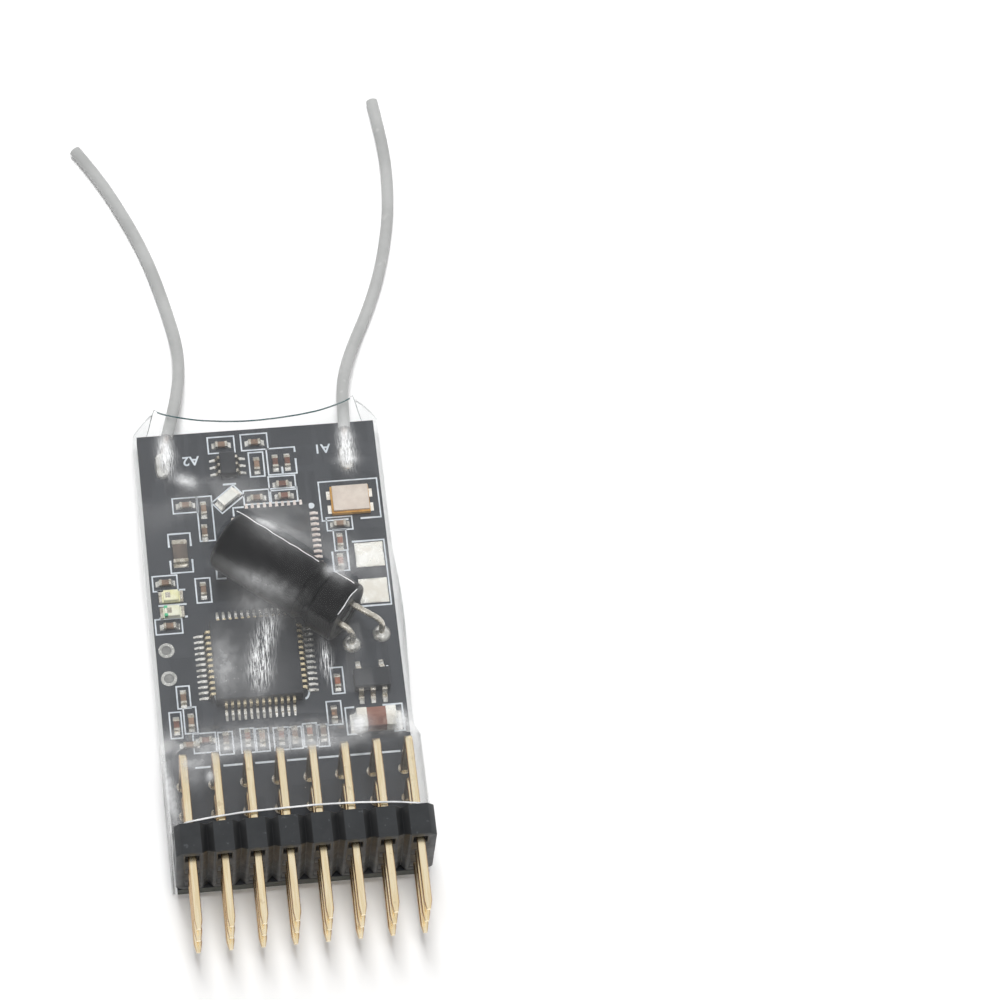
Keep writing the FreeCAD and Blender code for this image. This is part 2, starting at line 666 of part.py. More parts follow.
def capacitor_solder(leads):
    """A rounded solder joint on the board around the foot of each capacitor lead."""
    joints = []
    for (x, y), lead in zip(lead_feet(), leads):
        ball = Part.makeSphere(LEAD_JOINT_RADIUS, FreeCAD.Vector(x, y, -LEAD_JOINT_SINK))
        span = 2 * LEAD_JOINT_RADIUS
        joints.append(ball.common(block(x, y, 0, span, span, span)).cut(lead))
    return Part.makeCompound(joints)


def chip(x, y, turn, size):
    """A chip part: a ceramic block with slightly proud plated ends."""
    length, width, height, plated = size
    core = block(0, 0, PLATING, length - 2 * PLATING, width - 2 * PLATING, height - 2 * PLATING)
    ends = [block(s * (length - plated) / 2, 0, 0, plated, width, height) for s in (-1, 1)]
    shape = core.fuse(ends).removeSplitter()
    shape.rotate(FreeCAD.Vector(), FreeCAD.Vector(0, 0, 1), turn)
    shape.translate(FreeCAD.Vector(x, y, 0))
    return shape


def behind_radio(shift, gap):
    """Gives a place behind the radio chip: a shift across from its middle, and a gap from its far edge."""
    x, y = spot(RADIO_ACROSS, RADIO_ALONG)
    return x + shift, y + RADIO_SIZE / 2 + gap


def small_chips(places, radio_places):
    """Small chip parts at their places on the board and in the rows behind the radio chip."""
    chips = [chip(*spot(across, along), turn, SMALL_CHIP) for across, along, turn in places]
    for shift, row in radio_places:
        chips.append(chip(*behind_radio(shift, RADIO_ROW_GAP + row * RADIO_ROW_STEP), 0, SMALL_CHIP))
    return Part.makeCompound(chips)


def lamp(along):
    """An indicator lamp: a base with plated ends and a clear block on its middle."""
    x, y = spot(LAMP_ACROSS, along)
    base = block(x, y, 0, LAMP_LENGTH, LAMP_WIDTH, LAMP_BASE_HEIGHT)
    lens = block(x, y, LAMP_BASE_HEIGHT, LAMP_LENGTH - 2 * LAMP_LENS_INSET, LAMP_WIDTH, LAMP_LENS_HEIGHT)
    lens = lens.makeChamfer(BODY_CHAMFER, top_edges(lens))
    return base.fuse(lens).removeSplitter()


def bridge_pads():
    """Two broad pads heaped with solder."""
    x, y = spot(BRIDGE_ACROSS, BRIDGE_ALONG)
    pads = []
    for away in (-BRIDGE_PAD_SPACING / 2, BRIDGE_PAD_SPACING / 2):
        pad = block(x, y + away, 0, BRIDGE_PAD_LENGTH, BRIDGE_PAD_WIDTH, BRIDGE_PAD_HEIGHT)
        pads.append(pad.makeFillet(BRIDGE_PAD_ROUND, top_edges(pad)))
    return Part.makeCompound(pads)


def ring_pads():
    """Two plain plated rings for a programming lead."""
    x, y = spot(RING_PAD_ACROSS, RING_PAD_ALONG)
    rings = []
    for middle in (FreeCAD.Vector(x, y, 0), FreeCAD.Vector(x, y + RING_PAD_SPACING, 0)):
        disc = Part.makeCylinder(RING_PAD_OUTER / 2, PAD_HEIGHT, middle)
        rings.append(disc.cut(Part.makeCylinder(RING_PAD_INNER / 2, PAD_HEIGHT, middle)))
    return Part.makeCompound(rings)


def antenna_route(points, side):
    """Turns a route that is measured from a far corner, -1 for the left one, into board coordinates."""
    return [(x + side * BOARD_HALF, y + BOARD_LENGTH, z + UNDERSIDE) for x, y, z in points]


def antenna_core(route):
    """The bared core of an antenna, from the end of its jacket down to its joint."""
    start = FreeCAD.Vector(*route[0])
    away = (start - FreeCAD.Vector(*route[1])).normalize()
    level = CORE_DIAMETER / 2 + CORD_SEAT_GAP
    reach = FreeCAD.Vector(away.x, away.y, 0).normalize()
    bend = start + away * CORD_STEP
    foot = bend + reach * (CORD_STEP * 1.2)
    foot.z = level
    tail = foot + reach * CORE_ENTRY
    wire, _, _ = round_tube([tuple(v) for v in (start, bend, foot, tail)], CORE_DIAMETER)
    return wire, tail


def antenna_joint(tail, core):
    """A long solder bead that holds an antenna's core on the board."""
    start = FreeCAD.Vector(tail.x, tail.y - JOINT_LENGTH + CORE_ENTRY + JOINT_RADIUS, 0)
    length = JOINT_LENGTH - 2 * JOINT_RADIUS
    bead = Part.makeCylinder(JOINT_RADIUS, length, start, FreeCAD.Vector(0, 1, 0))
    ends = [Part.makeSphere(JOINT_RADIUS, start + FreeCAD.Vector(0, step, 0)) for step in (0, length)]
    bead = bead.fuse(ends).removeSplitter()
    span = 2 * JOINT_LENGTH
    return bead.common(block(tail.x, tail.y, 0, span, span, span)).cut(core)


def film_shoulder():
    """Gives the x at which the film turns down towards the board's edge."""
    return SLEEVE_HALF - FILM - SLEEVE_SHOULDER


def film_level(x, y):
    """Gives the film's height over the chips, highest over the processor and sagging round it."""
    middle_x, middle_y = spot(MCU_ACROSS, MCU_ALONG)
    beside, behind = (x - middle_x) / SAG_REACH, (y - middle_y) / SAG_REACH
    return MCU_TOP + FILM_GAP - FILM_SAG * (1 - math.exp(-(beside ** 4 + behind ** 4)))


def film_height(x, y):
    """Gives the height of the film's inner face over the board, draped over the pins and the capacitor."""
    height = film_level(x, y) if abs(x) < film_shoulder() else SLEEVE_EDGE
    pins = PINS_TOP + FILM_GAP
    past = y - PINS_BACK - 2 * FILM_GAP
    if past < RAMP_LENGTH:
        height = max(height, pins - max(0.0, past) * (pins - MCU_TOP) / RAMP_LENGTH)
    end, direction = can_axis()
    along = (x - end.x) * direction.x + (y - end.y) * direction.y
    nearest = min(max(along, 0.0), CAN_LENGTH)
    dx = x - end.x - nearest * direction.x
    dy = y - end.y - nearest * direction.y
    crown = end.z + CAN_OUTER + FILM_GAP
    return max(height, crown - HUMP_SLOPE * max(0.0, math.hypot(dx, dy) - HUMP_CROWN))


def film_stations():
    """Gives the y of each cross-section of the film, from its front edge to its mouth."""
    front = HOUSING_DEPTH + SLEEVE_FRONT_GAP
    ramp_top = PINS_BACK + 2 * FILM_GAP
    ramp_foot = ramp_top + RAMP_LENGTH
    count = max(2, round((BOARD_LENGTH - ramp_foot) / FILM_STEP))
    stations = [front, (front + ramp_top) / 2, ramp_top]
    stations += [ramp_foot + step * (BOARD_LENGTH - ramp_foot) / count for step in range(count + 1)]
    return stations + [SLEEVE_BACK]


def film_ring(y, dip, outside):
    """Gives one closed ring of points around the sleeve, on its outer or its inner face.

    The mouth draws in, and its underside ends just behind the board.
    """
    grow = FILM if outside else 0.0
    edge = film_shoulder()
    flat = edge - SHOULDER_WIDTH
    steps = max(2, round(flat / FILM_STEP))
    spread = [edge] + [flat * (1 - step / steps) for step in range(steps)]
    columns = [-x for x in spread] + [0.0] + spread[::-1]
    floor = UNDERSIDE + (0.0 if outside else FILM)
    at_mouth = y == SLEEVE_BACK
    narrow = 1 - MOUTH_PINCH if at_mouth else 1.0
    floor_y = BOARD_LENGTH + MOUTH_LIP if at_mouth else y
    wall = (SLEEVE_HALF - FILM) * narrow + grow
    ring = [FreeCAD.Vector(-wall, floor_y, floor), FreeCAD.Vector(-wall, y, SLEEVE_SIDE_HEIGHT)]
    for x in columns:
        shift = dip * (1 - (x / edge) ** 2)
        out = math.copysign(grow, x) if abs(x) == edge else 0.0
        ring.append(FreeCAD.Vector(x * narrow + out, y + shift, film_height(x, y) + grow))
    return ring + [FreeCAD.Vector(wall, y, SLEEVE_SIDE_HEIGHT), FreeCAD.Vector(wall, floor_y, floor)]


def strip(first, second, flip):
    """Fills the band between two closed rings with triangles."""
    faces = []
    for index in range(len(first)):
        following = (index + 1) % len(first)
        a, b, c, d = first[index], first[following], second[following], second[index]
        for corners in ((a, b, c), (a, c, d)):
            loop = corners[::-1] if flip else corners
            faces.append(Part.Face(Part.makePolygon(list(loop) + [loop[0]])))
    return faces


def clear_sleeve():
    """The shrink sleeve: a thin open tube round the board, tented over the pins and the capacitor."""
    stations = film_stations()
    last = len(stations) - 1
    dips = [FRONT_DIP if i == 0 else -MOUTH_DIP if i == last else 0.0 for i in range(last + 1)]
    outer = [film_ring(y, dip, True) for y, dip in zip(stations, dips)]
    inner = [film_ring(y, dip, False) for y, dip in zip(stations, dips)]
    faces = strip(inner[0], outer[0], True) + strip(outer[last], inner[last], True)
    for index in range(last):
        faces += strip(outer[index], outer[index + 1], False)
        faces += strip(inner[index], inner[index + 1], True)
    shell = Part.makeShell(faces)
    shell.sewShape()
    solid = Part.makeSolid(shell)
    return solid if solid.Volume > 0 else solid.reversed()


def settle(shape):
    """Moves a shape from board coordinates into the finished part's own frame."""
    moved = shape.copy()
    moved.translate(FreeCAD.Vector(0, -MIDDLE_Y, -UNDERSIDE))
    return moved


def build():
    """Builds every piece and gives them by name, in the finished part's frame."""
    pieces = {"circuit_board": circuit_board(), "header_housing": header_housing()}
    for row, level in enumerate(("lower", "middle", "upper")[:ROWS]):
        for column, x in enumerate(pin_columns(), 1):
            pieces[f"{level}_pin_{column}"] = header_pin(x, row)
    pieces["header_solder"] = header_solder()
    pieces["mcu_body"] = mcu_body()
    pieces["mcu_leads"] = mcu_leads()
    pieces["radio_body"] = radio_body()
    pieces["radio_pads"] = radio_pads()
    pieces["switch_body"] = switch_body()
    pieces["switch_leads"] = switch_leads()
    pieces["regulator_body"] = regulator_body()
    pieces["regulator_leads"] = regulator_leads()
    pieces["crystal_tray"] = crystal_tray()
    pieces["crystal_lid"] = crystal_lid()
    pieces["crystal_pads"] = crystal_pads()
    pieces["capacitor_can"] = capacitor_can()
    pieces["capacitor_jacket"] = capacitor_jacket()
    pieces["capacitor_bung"] = capacitor_bung()
    long_lead = capacitor_lead(1, lead_feet()[0])
    short_lead = capacitor_lead(-1, lead_feet()[1])
    pieces["capacitor_long_lead"] = long_lead
    pieces["capacitor_short_lead"] = short_lead
    pieces["capacitor_solder"] = capacitor_solder((long_lead, short_lead))
    pieces["chip_resistors"] = small_chips(CHIP_RESISTORS, RADIO_RESISTORS)
    pieces["chip_capacitors"] = small_chips(CHIP_CAPACITORS, RADIO_CAPACITORS)
    pieces["large_resistor"] = chip(*spot(LARGE_RESISTOR_ACROSS, LARGE_RESISTOR_ALONG), 90, LARGE_RESISTOR)
    pieces["large_ceramic"] = chip(*spot(LARGE_CAPACITOR_ACROSS, LARGE_CAPACITOR_ALONG), 0, LARGE_CAPACITOR)
    filter_spot = behind_radio(-RADIO_SIZE / 2 - FILTER_ASIDE, FILTER_GAP)
    pieces["antenna_filter"] = chip(*filter_spot, FILTER_TURN, FILTER_CHIP)
    pieces["yellow_lamp"] = lamp(YELLOW_LAMP_ALONG)
    pieces["green_lamp"] = lamp(GREEN_LAMP_ALONG)
    pieces["bridge_pads"] = bridge_pads()
    pieces["ring_pads"] = ring_pads()
    pieces["clear_sleeve"] = clear_sleeve()
    for name, side, points in (("left", -1, ANTENNA_LEFT), ("right", 1, ANTENNA_RIGHT)):
        route = antenna_route(points, side)
        core, tail = antenna_core(route)
        pieces[f"antenna_core_{name}"] = core
        pieces[f"antenna_solder_{name}"] = antenna_joint(tail, core)
        tube, length, radii = round_tube(route, CORD_DIAMETER)
        pieces[f"antenna_{name}"] = tube
        solid = length * math.pi * CORD_DIAMETER ** 2 / 4
        print(f"antenna_{name}: length {length:.2f}, volume {tube.Volume:.3f}, by section {solid:.3f}")
        print("  radii", " ".join(f"{radius:.1f}" for radius in radii))
    return {name: settle(shape) for name, shape in pieces.items()}


os.makedirs("parts", exist_ok=True)
for piece_name, piece_shape in build().items():
    piece_shape.exportStep(f"parts/{piece_name}.step")
    box = piece_shape.BoundBox
    print(f"{piece_name}: solids {len(piece_shape.Solids)}, valid {piece_shape.isValid()},", end=" ")
    print(f"z {box.ZMin:.2f} to {box.ZMax:.2f}")
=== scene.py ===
"""A small radio-control receiver in a clear shrink sleeve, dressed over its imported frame.

Shapes are drawn in board coordinates, in millimetres: x from the board's centreline, y from the front face
of the pin header, z from the board's top face. Each finished mesh is moved into the frame's own metres.
"""
from __future__ import annotations

import logging
import math
from dataclasses import dataclass
from enum import Enum
from typing import Sequence, Union

import bmesh
import bpy
import numpy as np
from bpy.types import Material, Mesh, Node, NodeTree, Object, Scene
from mathutils import Matrix, Vector, noise

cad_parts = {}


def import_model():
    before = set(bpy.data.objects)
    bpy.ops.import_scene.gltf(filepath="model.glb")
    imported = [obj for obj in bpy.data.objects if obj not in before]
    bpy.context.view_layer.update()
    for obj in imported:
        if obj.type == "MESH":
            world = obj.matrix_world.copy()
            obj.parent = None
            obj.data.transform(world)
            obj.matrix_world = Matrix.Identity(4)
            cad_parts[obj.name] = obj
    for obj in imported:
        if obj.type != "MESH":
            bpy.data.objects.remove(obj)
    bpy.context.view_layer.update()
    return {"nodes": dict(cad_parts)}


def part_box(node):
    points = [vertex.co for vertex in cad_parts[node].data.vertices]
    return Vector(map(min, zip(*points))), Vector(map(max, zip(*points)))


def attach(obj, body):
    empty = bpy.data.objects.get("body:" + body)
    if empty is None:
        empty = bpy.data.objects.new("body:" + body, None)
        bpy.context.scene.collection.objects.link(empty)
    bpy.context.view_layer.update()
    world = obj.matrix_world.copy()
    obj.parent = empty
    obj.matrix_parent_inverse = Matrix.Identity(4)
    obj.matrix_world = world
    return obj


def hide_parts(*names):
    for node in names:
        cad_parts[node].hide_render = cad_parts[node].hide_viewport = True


LOG = logging.getLogger("receiver")
MM = 0.001
BODY = "root"
FRONT_FACE_Y = -18.15
BOARD_TOP_Z = 2.15
SMOOTH = 32.0

Pair = tuple[float, float]
Point = tuple[float, float, float]
Colour = tuple[float, float, float]
Rows = tuple[tuple[float, ...], ...]
Socket = bpy.types.NodeSocket
Value = Union[Socket, float, Sequence[float]]
TO_PART = Matrix.Translation((0.0, FRONT_FACE_Y * MM, BOARD_TOP_Z * MM)) @ Matrix.Scale(MM, 4)


def seen(red: int, green: int, blue: int) -> Colour:
    """Turn a colour as a picture shows it into the shader's linear colour.

    Args:
        red: Red from 0 to 255.
        green: Green from 0 to 255.
        blue: Blue from 0 to 255.

    Returns:
        The linear colour.
    """
    shares = [channel / 255.0 for channel in (red, green, blue)]
    return tuple(s / 12.92 if s <= 0.04045 else ((s + 0.055) / 1.055) ** 2.4 for s in shares)


def rgba(colour: Colour) -> tuple[float, float, float, float]:
    """Add a full alpha to a colour."""
    return (*colour, 1.0)


class Slot(Enum):
    """Names of the record's material slots for the new pieces."""

    BOARD = "board_laminate"
    HEADER = "header_plastic"
    PIN = "pin_gold"
    SOLDER = "solder"
    CHIP = "chip_plastic"
    LEAD = "tinned_lead"
    TRAY = "crystal_tray_ceramic"
    LID = "crystal_lid_metal"
    JACKET = "can_jacket"
    RESISTOR = "resistor_body"
    CERAMIC = "ceramic_capacitor_body"
    FILTER = "filter_body"
    YELLOW_LAMP = "lamp_yellow"
    GREEN_LAMP = "lamp_green"
    FILM = "clear_film"
    ANTENNA = "antenna_grey"


class Sketch:
    """Writes one material as a tree of nodes that read the piece's own coordinates."""

    def __init__(self, name: str) -> None:
        """Start an empty tree.

        Args:
            name: The material's name.
        """
        self.material = bpy.data.materials.new(name)
        self.material.use_nodes = True
        self.nodes = self.material.node_tree.nodes
        self.links = self.material.node_tree.links
        self.nodes.clear()
        self.place = self.add("ShaderNodeTexCoord").outputs["Object"]

    def add(self, kind: str, **settings: object) -> Node:
        """Add a node.

        Args:
            kind: The node's type name.
            settings: Properties to set on it.

        Returns:
            The new node.
        """
        node = self.nodes.new(kind)
        for key, value in settings.items():
            setattr(node, key, value)
        return node

    def feed(self, socket: Socket, value: Value) -> None:
        """Link a socket into another one, or set its plain value.

        Args:
            socket: The input to fill.
            value: An output socket, a number or a colour.
        """
        if isinstance(value, Socket):
            self.links.new(value, socket)
        elif socket.type == "RGBA" and len(value) == 3:
            socket.default_value = rgba(value)
        else:
            socket.default_value = value

    def fill(self, node: Node, **values: Value | None) -> None:
        """Feed a node's inputs.

        Args:
            node: The node.
            values: Inputs by name, with an underscore for each space; None leaves an input as it is.
        """
        for key, value in values.items():
            if value is not None:
                self.feed(node.inputs[key.replace("_", " ")], value)

    def placed(self, stretch: Point = (1.0, 1.0, 1.0), turn: float = 0.0) -> Socket:
        """Give the piece's coordinates, turned about the upright axis and then stretched.

        Args:
            stretch: Scale along each axis.
            turn: Angle in radians.

        Returns:
            The vector socket.
        """
        mapping = self.add("ShaderNodeMapping", vector_type="POINT")
        self.fill(mapping, Vector=self.place, Rotation=(0.0, 0.0, turn), Scale=stretch)
        return mapping.outputs["Vector"]

    def cloud(self, scale: float, detail: float = 3.0, rough: float = 0.55,
              stretch: Point = (1.0, 1.0, 1.0), turn: float = 0.0, warp: float = 0.0) -> Socket:
        """Give soft noise.

        Args:
            scale: Noise scale per metre.
            detail: Octaves.
            rough: Share that each octave keeps.
            stretch: Scale along each axis.
            turn: Angle of the stretch in radians.
            warp: Distortion.

        Returns:
            The noise value, around one half.
        """
        node = self.add("ShaderNodeTexNoise")
        self.fill(node, Vector=self.placed(stretch, turn), Scale=scale, Detail=detail, Roughness=rough,
                  Distortion=warp)
        return node.outputs["Fac"]

    def span(self, value: Value, low: float, high: float, first: float = 0.0, last: float = 1.0) -> Socket:
        """Map a range of a value onto another range, smoothly and clamped.

        Args:
            value: What is mapped.
            low: Start of its range.
            high: End of its range.
            first: Result at the start.
            last: Result at the end.

        Returns:
            The mapped value.
        """
        node = self.add("ShaderNodeMapRange", interpolation_type="SMOOTHSTEP")
        self.fill(node, Value=value, From_Min=low, From_Max=high, To_Min=first, To_Max=last)
        return node.outputs["Result"]

    def blend(self, share: Value, first: Value, second: Value) -> Socket:
        """Mix two colours.

        Args:
            share: How much of the second colour.
            first: Colour at 0.
            second: Colour at 1.

        Returns:
            The mixed colour.
        """
        node = self.add("ShaderNodeMix", data_type="RGBA")
        self.feed(node.inputs[0], share)
        self.feed(node.inputs[6], first)
        self.feed(node.inputs[7], second)
        return node.outputs[2]

    def maths(self, kind: str, first: Value, second: Value = 0.0, clamp: bool = False) -> Socket:
        """Combine two values.

        Args:
            kind: The operation.
            first: First value.
            second: Second value.
            clamp: Whether the result stays from 0 to 1.

        Returns:
            The result.
        """
        node = self.add("ShaderNodeMath", operation=kind, use_clamp=clamp)
        self.feed(node.inputs[0], first)
        self.feed(node.inputs[1], second)
        return node.outputs[0]

    def relief(self, height: Value, depth: float, under: Socket | None = None) -> Socket:
        """Tilt the surface by a height field.

        Args:
            height: Height from 0 to 1.
            depth: Depth of the relief in metres.
            under: A relief that this one lies on.

        Returns:
            The normal.
        """
        node = self.add("ShaderNodeBump")
        self.fill(node, Distance=depth, Height=height, Normal=under)
        return node.outputs["Normal"]

    def part(self, vector: Socket, axis: str) -> Socket:
        """Give one part of a vector.

        Args:
            vector: The vector.
            axis: X, Y or Z.

        Returns:
            Its value along that axis.
        """
        node = self.add("ShaderNodeSeparateXYZ")
        self.feed(node.inputs[0], vector)
        return node.outputs[axis]

    def painted(self, name: str) -> Socket:
        """Give a value that the mesh carries under a name."""
        return self.add("ShaderNodeAttribute", attribute_name=name).outputs["Fac"]

    def facing(self, axis: str) -> Socket:
        """Give how far the surface faces along an axis, forwards or backwards."""
        return self.maths("ABSOLUTE", self.part(self.add("ShaderNodeNewGeometry").outputs["Normal"], axis))

    def layered(self, share: Value, first: Node, second: Node) -> Node:
        """Mix two shaders.

        Args:
            share: How much of the second one.
            first: Shader at 0.
            second: Shader at 1.

        Returns:
            The mixed shader's node.
        """
        node = self.add("ShaderNodeMixShader")
        for socket, value in zip(node.inputs, (share, first.outputs[0], second.outputs[0])):
            self.feed(socket, value)
        return node

    def surface(self, colour: Value, roughness: Value, normal: Socket | None = None,
                **plain: float) -> Node:
        """Add the main surface shader.

        Args:
            colour: Base colour.
            roughness: Roughness.
            normal: Normal from a relief.
            plain: Other inputs by name, with an underscore for each space.

        Returns:
            The shader node.
        """
        node = self.add("ShaderNodeBsdfPrincipled")
        self.fill(node, Base_Color=colour, Roughness=roughness, Normal=normal, **plain)
        return node

    def close(self, shader: Socket) -> Material:
        """Link the last shader to the output.

        Args:
            shader: The shader socket.

        Returns:
            The finished material.
        """
        self.feed(self.add("ShaderNodeOutputMaterial").inputs["Surface"], shader)
        return self.material


@dataclass(frozen=True)
class Finish:
    """A finish with a drifting colour, an uneven gloss, a fine grain and a few worn or dusty specks."""

    name: str
    colour: Colour
    second: Colour
    drift: float = 400.0
    gloss: Pair = (0.4, 0.55)
    metal: float = 0.0
    specular: float = 0.5
    grain: float = 0.01
    grain_scale: float = 9000.0
    stretch: Point = (1.0, 1.0, 1.0)
    speck: Colour | None = None
    speck_scale: float = 1500.0
    speck_share: float = 0.5
    coat: float = 0.0

    def make(self) -> Material:
        """Build the material.

        Returns:
            The material.
        """
        sketch = Sketch(self.name)
        wide = sketch.cloud(self.drift, 4.0, 0.6)
        colour = sketch.blend(sketch.span(wide, 0.3, 0.7), self.colour, self.second)
        if self.speck is not None:
            dots = sketch.span(sketch.cloud(self.speck_scale, 2.0, 0.5), 0.66, 0.74, 0.0, self.speck_share)
            colour = sketch.blend(dots, colour, self.speck)
        fine = sketch.cloud(self.grain_scale, 3.0, 0.6, self.stretch)
        roughness = sketch.span(sketch.cloud(self.drift * 3.0, 3.0), 0.3, 0.7, *self.gloss)
        normal = sketch.relief(fine, self.grain * MM)
        return sketch.close(sketch.surface(
            colour, roughness, normal, Metallic=self.metal, Specular_IOR_Level=self.specular,
            Coat_Weight=self.coat, Coat_Roughness=0.12,
        ).outputs[0])


@dataclass(frozen=True)
class BoardFinish:
    """Dark solder mask with faint copper under it, and bare glass laminate on the sawn edges."""

    name: str = "solder_mask"
    mask: Colour = seen(50, 53, 58)
    copper: Colour = seen(62, 65, 70)
    edge: Colour = seen(74, 78, 72)

    def make(self) -> Material:
        """Build the material.

        Returns:
            The material.
        """
        sketch = Sketch(self.name)
        across = sketch.span(sketch.cloud(900.0, 1.0, 0.3, (1.0, 0.06, 1.0)), 0.5, 0.54)
        along = sketch.span(sketch.cloud(700.0, 1.0, 0.3, (0.06, 1.0, 1.0)), 0.53, 0.57)
        tracks = sketch.maths("MAXIMUM", across, along)
        mottle = sketch.cloud(1800.0, 4.0, 0.6)
        colour = sketch.blend(sketch.maths("MULTIPLY", tracks, 0.6), self.mask, self.copper)
        colour = sketch.blend(sketch.span(mottle, 0.35, 0.75, 0.0, 0.2), colour, seen(72, 75, 80))
        sawn = sketch.span(sketch.facing("Z"), 0.35, 0.75, 1.0, 0.0)
        glass = sketch.blend(sketch.cloud(3500.0, 3.0, 0.6, (1.0, 1.0, 4.0)), self.edge, seen(48, 50, 46))
        colour = sketch.blend(sawn, colour, glass)
        gloss = sketch.span(mottle, 0.3, 0.7, 0.3, 0.42)
        roughness = sketch.maths("ADD", sketch.maths("MULTIPLY", sawn, 0.3), gloss)
        normal = sketch.relief(tracks, 0.01 * MM)
        return sketch.close(sketch.surface(colour, roughness, normal).outputs[0])


@dataclass(frozen=True)
class SolderFinish:
    """Bright tin with frosty patches and soft hammered dents."""

    name: str
    bright: Colour = seen(236, 235, 230)
    dull: Colour = seen(190, 188, 182)
    dents: float = 0.05
    scale: float = 1400.0
    metal: float = 0.8

    def make(self) -> Material:
        """Build the material.

        Returns:
            The material.
        """
        sketch = Sketch(self.name)
        patches = sketch.cloud(self.scale * 0.8, 4.0, 0.6)
        colour = sketch.blend(sketch.span(patches, 0.4, 0.65), self.bright, self.dull)
        roughness = sketch.span(patches, 0.35, 0.7, 0.18, 0.42)
        normal = sketch.relief(sketch.cloud(self.scale, 2.0, 0.5), self.dents * MM)
        return sketch.close(sketch.surface(colour, roughness, normal, Metallic=self.metal).outputs[0])


@dataclass(frozen=True)
class LeadFinish:
    """Tinned gull-wing leads, with a painted reflection of the black body darkening their sloped middle
    part.
    """

    name: str = "gull_wing_tin"
    foot: Colour = seen(244, 242, 236)
    shoulder: Colour = seen(238, 222, 186)
    painted_body_reflection: Colour = seen(74, 64, 54)
    levels: Point = (2.4, 2.62, 2.9)

    def make(self) -> Material:
        """Build the material.

        Returns:
            The material.
        """
        sketch = Sketch(self.name)
        height = sketch.part(sketch.place, "Z")
        low, middle, high = (level * MM for level in self.levels)
        # Painted reflection: the sloped band between foot and shoulder is darkened as if it mirrored the
        # black body.
        lower = sketch.blend(sketch.span(height, low, middle), self.foot, self.painted_body_reflection)
        colour = sketch.blend(sketch.span(height, middle, high), lower, self.shoulder)
        rough = sketch.cloud(4000.0, 3.0)
        return sketch.close(sketch.surface(
            colour, sketch.span(rough, 0.3, 0.7, 0.2, 0.36), sketch.relief(rough, 0.01 * MM), Metallic=0.8,
        ).outputs[0])


@dataclass(frozen=True)
class GoldFinish:
    """Pale plated gold with drawn lines, browner where the plating is thin, and with a painted reflection
    browning the pins' sides.
    """

    name: str = "pin_gold"
    pale: Colour = seen(255, 240, 206)
    deep: Colour = seen(248, 228, 186)
    # Colour of the painted reflection on the pins' sides.
    side: Colour = seen(176, 134, 84)

    def make(self) -> Material:
        """Build the material.

        Returns:
            The material.
        """
        sketch = Sketch(self.name)
        lines = sketch.cloud(3200.0, 3.0, 0.6, (1.0, 0.07, 0.07))
        colour = sketch.blend(sketch.span(lines, 0.4, 0.62), self.pale, self.deep)
        thin = sketch.span(sketch.cloud(1100.0, 2.0), 0.62, 0.74, 0.0, 0.2)
        # Painted reflection: the sides facing across are browned, standing in for the dark surroundings
        # that they mirror.
        aside = sketch.span(sketch.facing("X"), 0.25, 0.8, 0.0, 0.85)
        colour = sketch.blend(sketch.maths("MAXIMUM", thin, aside), colour, self.side)
        normal = sketch.relief(lines, 0.0012 * MM)
        return sketch.close(sketch.surface(colour, 0.24, normal, Metallic=1.0).outputs[0])


@dataclass(frozen=True)
class FilmFinish:
    """Clear shrink film: it mirrors a little, shows what is under it, and is cloudy where it is scuffed;
    painted glare is laid on in the same cloudy white.
    """

    name: str = "shrink_film"
    tint: Colour = (0.997, 0.999, 0.999)
    glare_milk: Colour = seen(246, 247, 248)
    gloss: float = 0.16
    bending: float = 1.5
    lift: Point = (0.0, 0.0, 1.5)

    def make(self) -> Material:
        """Build the material.

        Returns:
            The material.
        """
        sketch = Sketch(self.name)
        ripple = sketch.cloud(700.0, 2.0, 0.5, (1.0, 0.22, 0.1), 0.05)
        normal = sketch.relief(ripple, 0.012 * MM)
        clear = sketch.add("ShaderNodeBsdfTransparent")
        sketch.feed(clear.inputs["Color"], self.tint)
        mirror = sketch.add("ShaderNodeBsdfAnisotropic")
        fresnel = sketch.add("ShaderNodeFresnel")
        sketch.fill(mirror, Color=(1.0, 1.0, 1.0), Roughness=self.gloss, Normal=normal)
        sketch.fill(fresnel, IOR=self.bending, Normal=normal)
        front = sketch.maths("SUBTRACT", 1.0, sketch.add("ShaderNodeNewGeometry").outputs["Backfacing"])
        loose = sketch.maths("SUBTRACT", 1.0, sketch.painted("grip"))
        share = sketch.maths("MULTIPLY", sketch.maths("MULTIPLY", fresnel.outputs[0], loose), front, True)
        # Painted light: the cloudy white and the painted glare are shaded with a normal tipped upwards, so
        # that they are lit as if facing up on every slope.
        lifted = sketch.add("ShaderNodeVectorMath", operation="ADD")
        sketch.feed(lifted.inputs[0], normal)
        sketch.feed(lifted.inputs[1], self.lift)
        even = sketch.add("ShaderNodeVectorMath", operation="NORMALIZE")
        sketch.feed(even.inputs[0], lifted.outputs[0])
        scuff_and_glare = sketch.surface(self.glare_milk, 0.35, even.outputs[0])
        # Fine scratch lines that carry the painted glare streaks.
        lines = sketch.span(sketch.cloud(15000.0, 4.0, 0.75, (1.0, 0.07, 0.02), 0.1), 0.45, 0.58)
        patchy = sketch.span(sketch.cloud(1300.0, 4.0, 0.62, (1.0, 1.0, 0.2)), 0.3, 0.7, 0.6, 1.0)
        milky_glare = sketch.maths("MULTIPLY", sketch.painted("haze"), patchy)
        milky_glare = sketch.maths("ADD", milky_glare, sketch.maths("MULTIPLY", sketch.painted("streak"), lines), True)
        milky_glare = sketch.maths("MULTIPLY", milky_glare, front)
        return sketch.close(sketch.layered(milky_glare, sketch.layered(share, clear, mirror), scuff_and_glare).outputs[0])


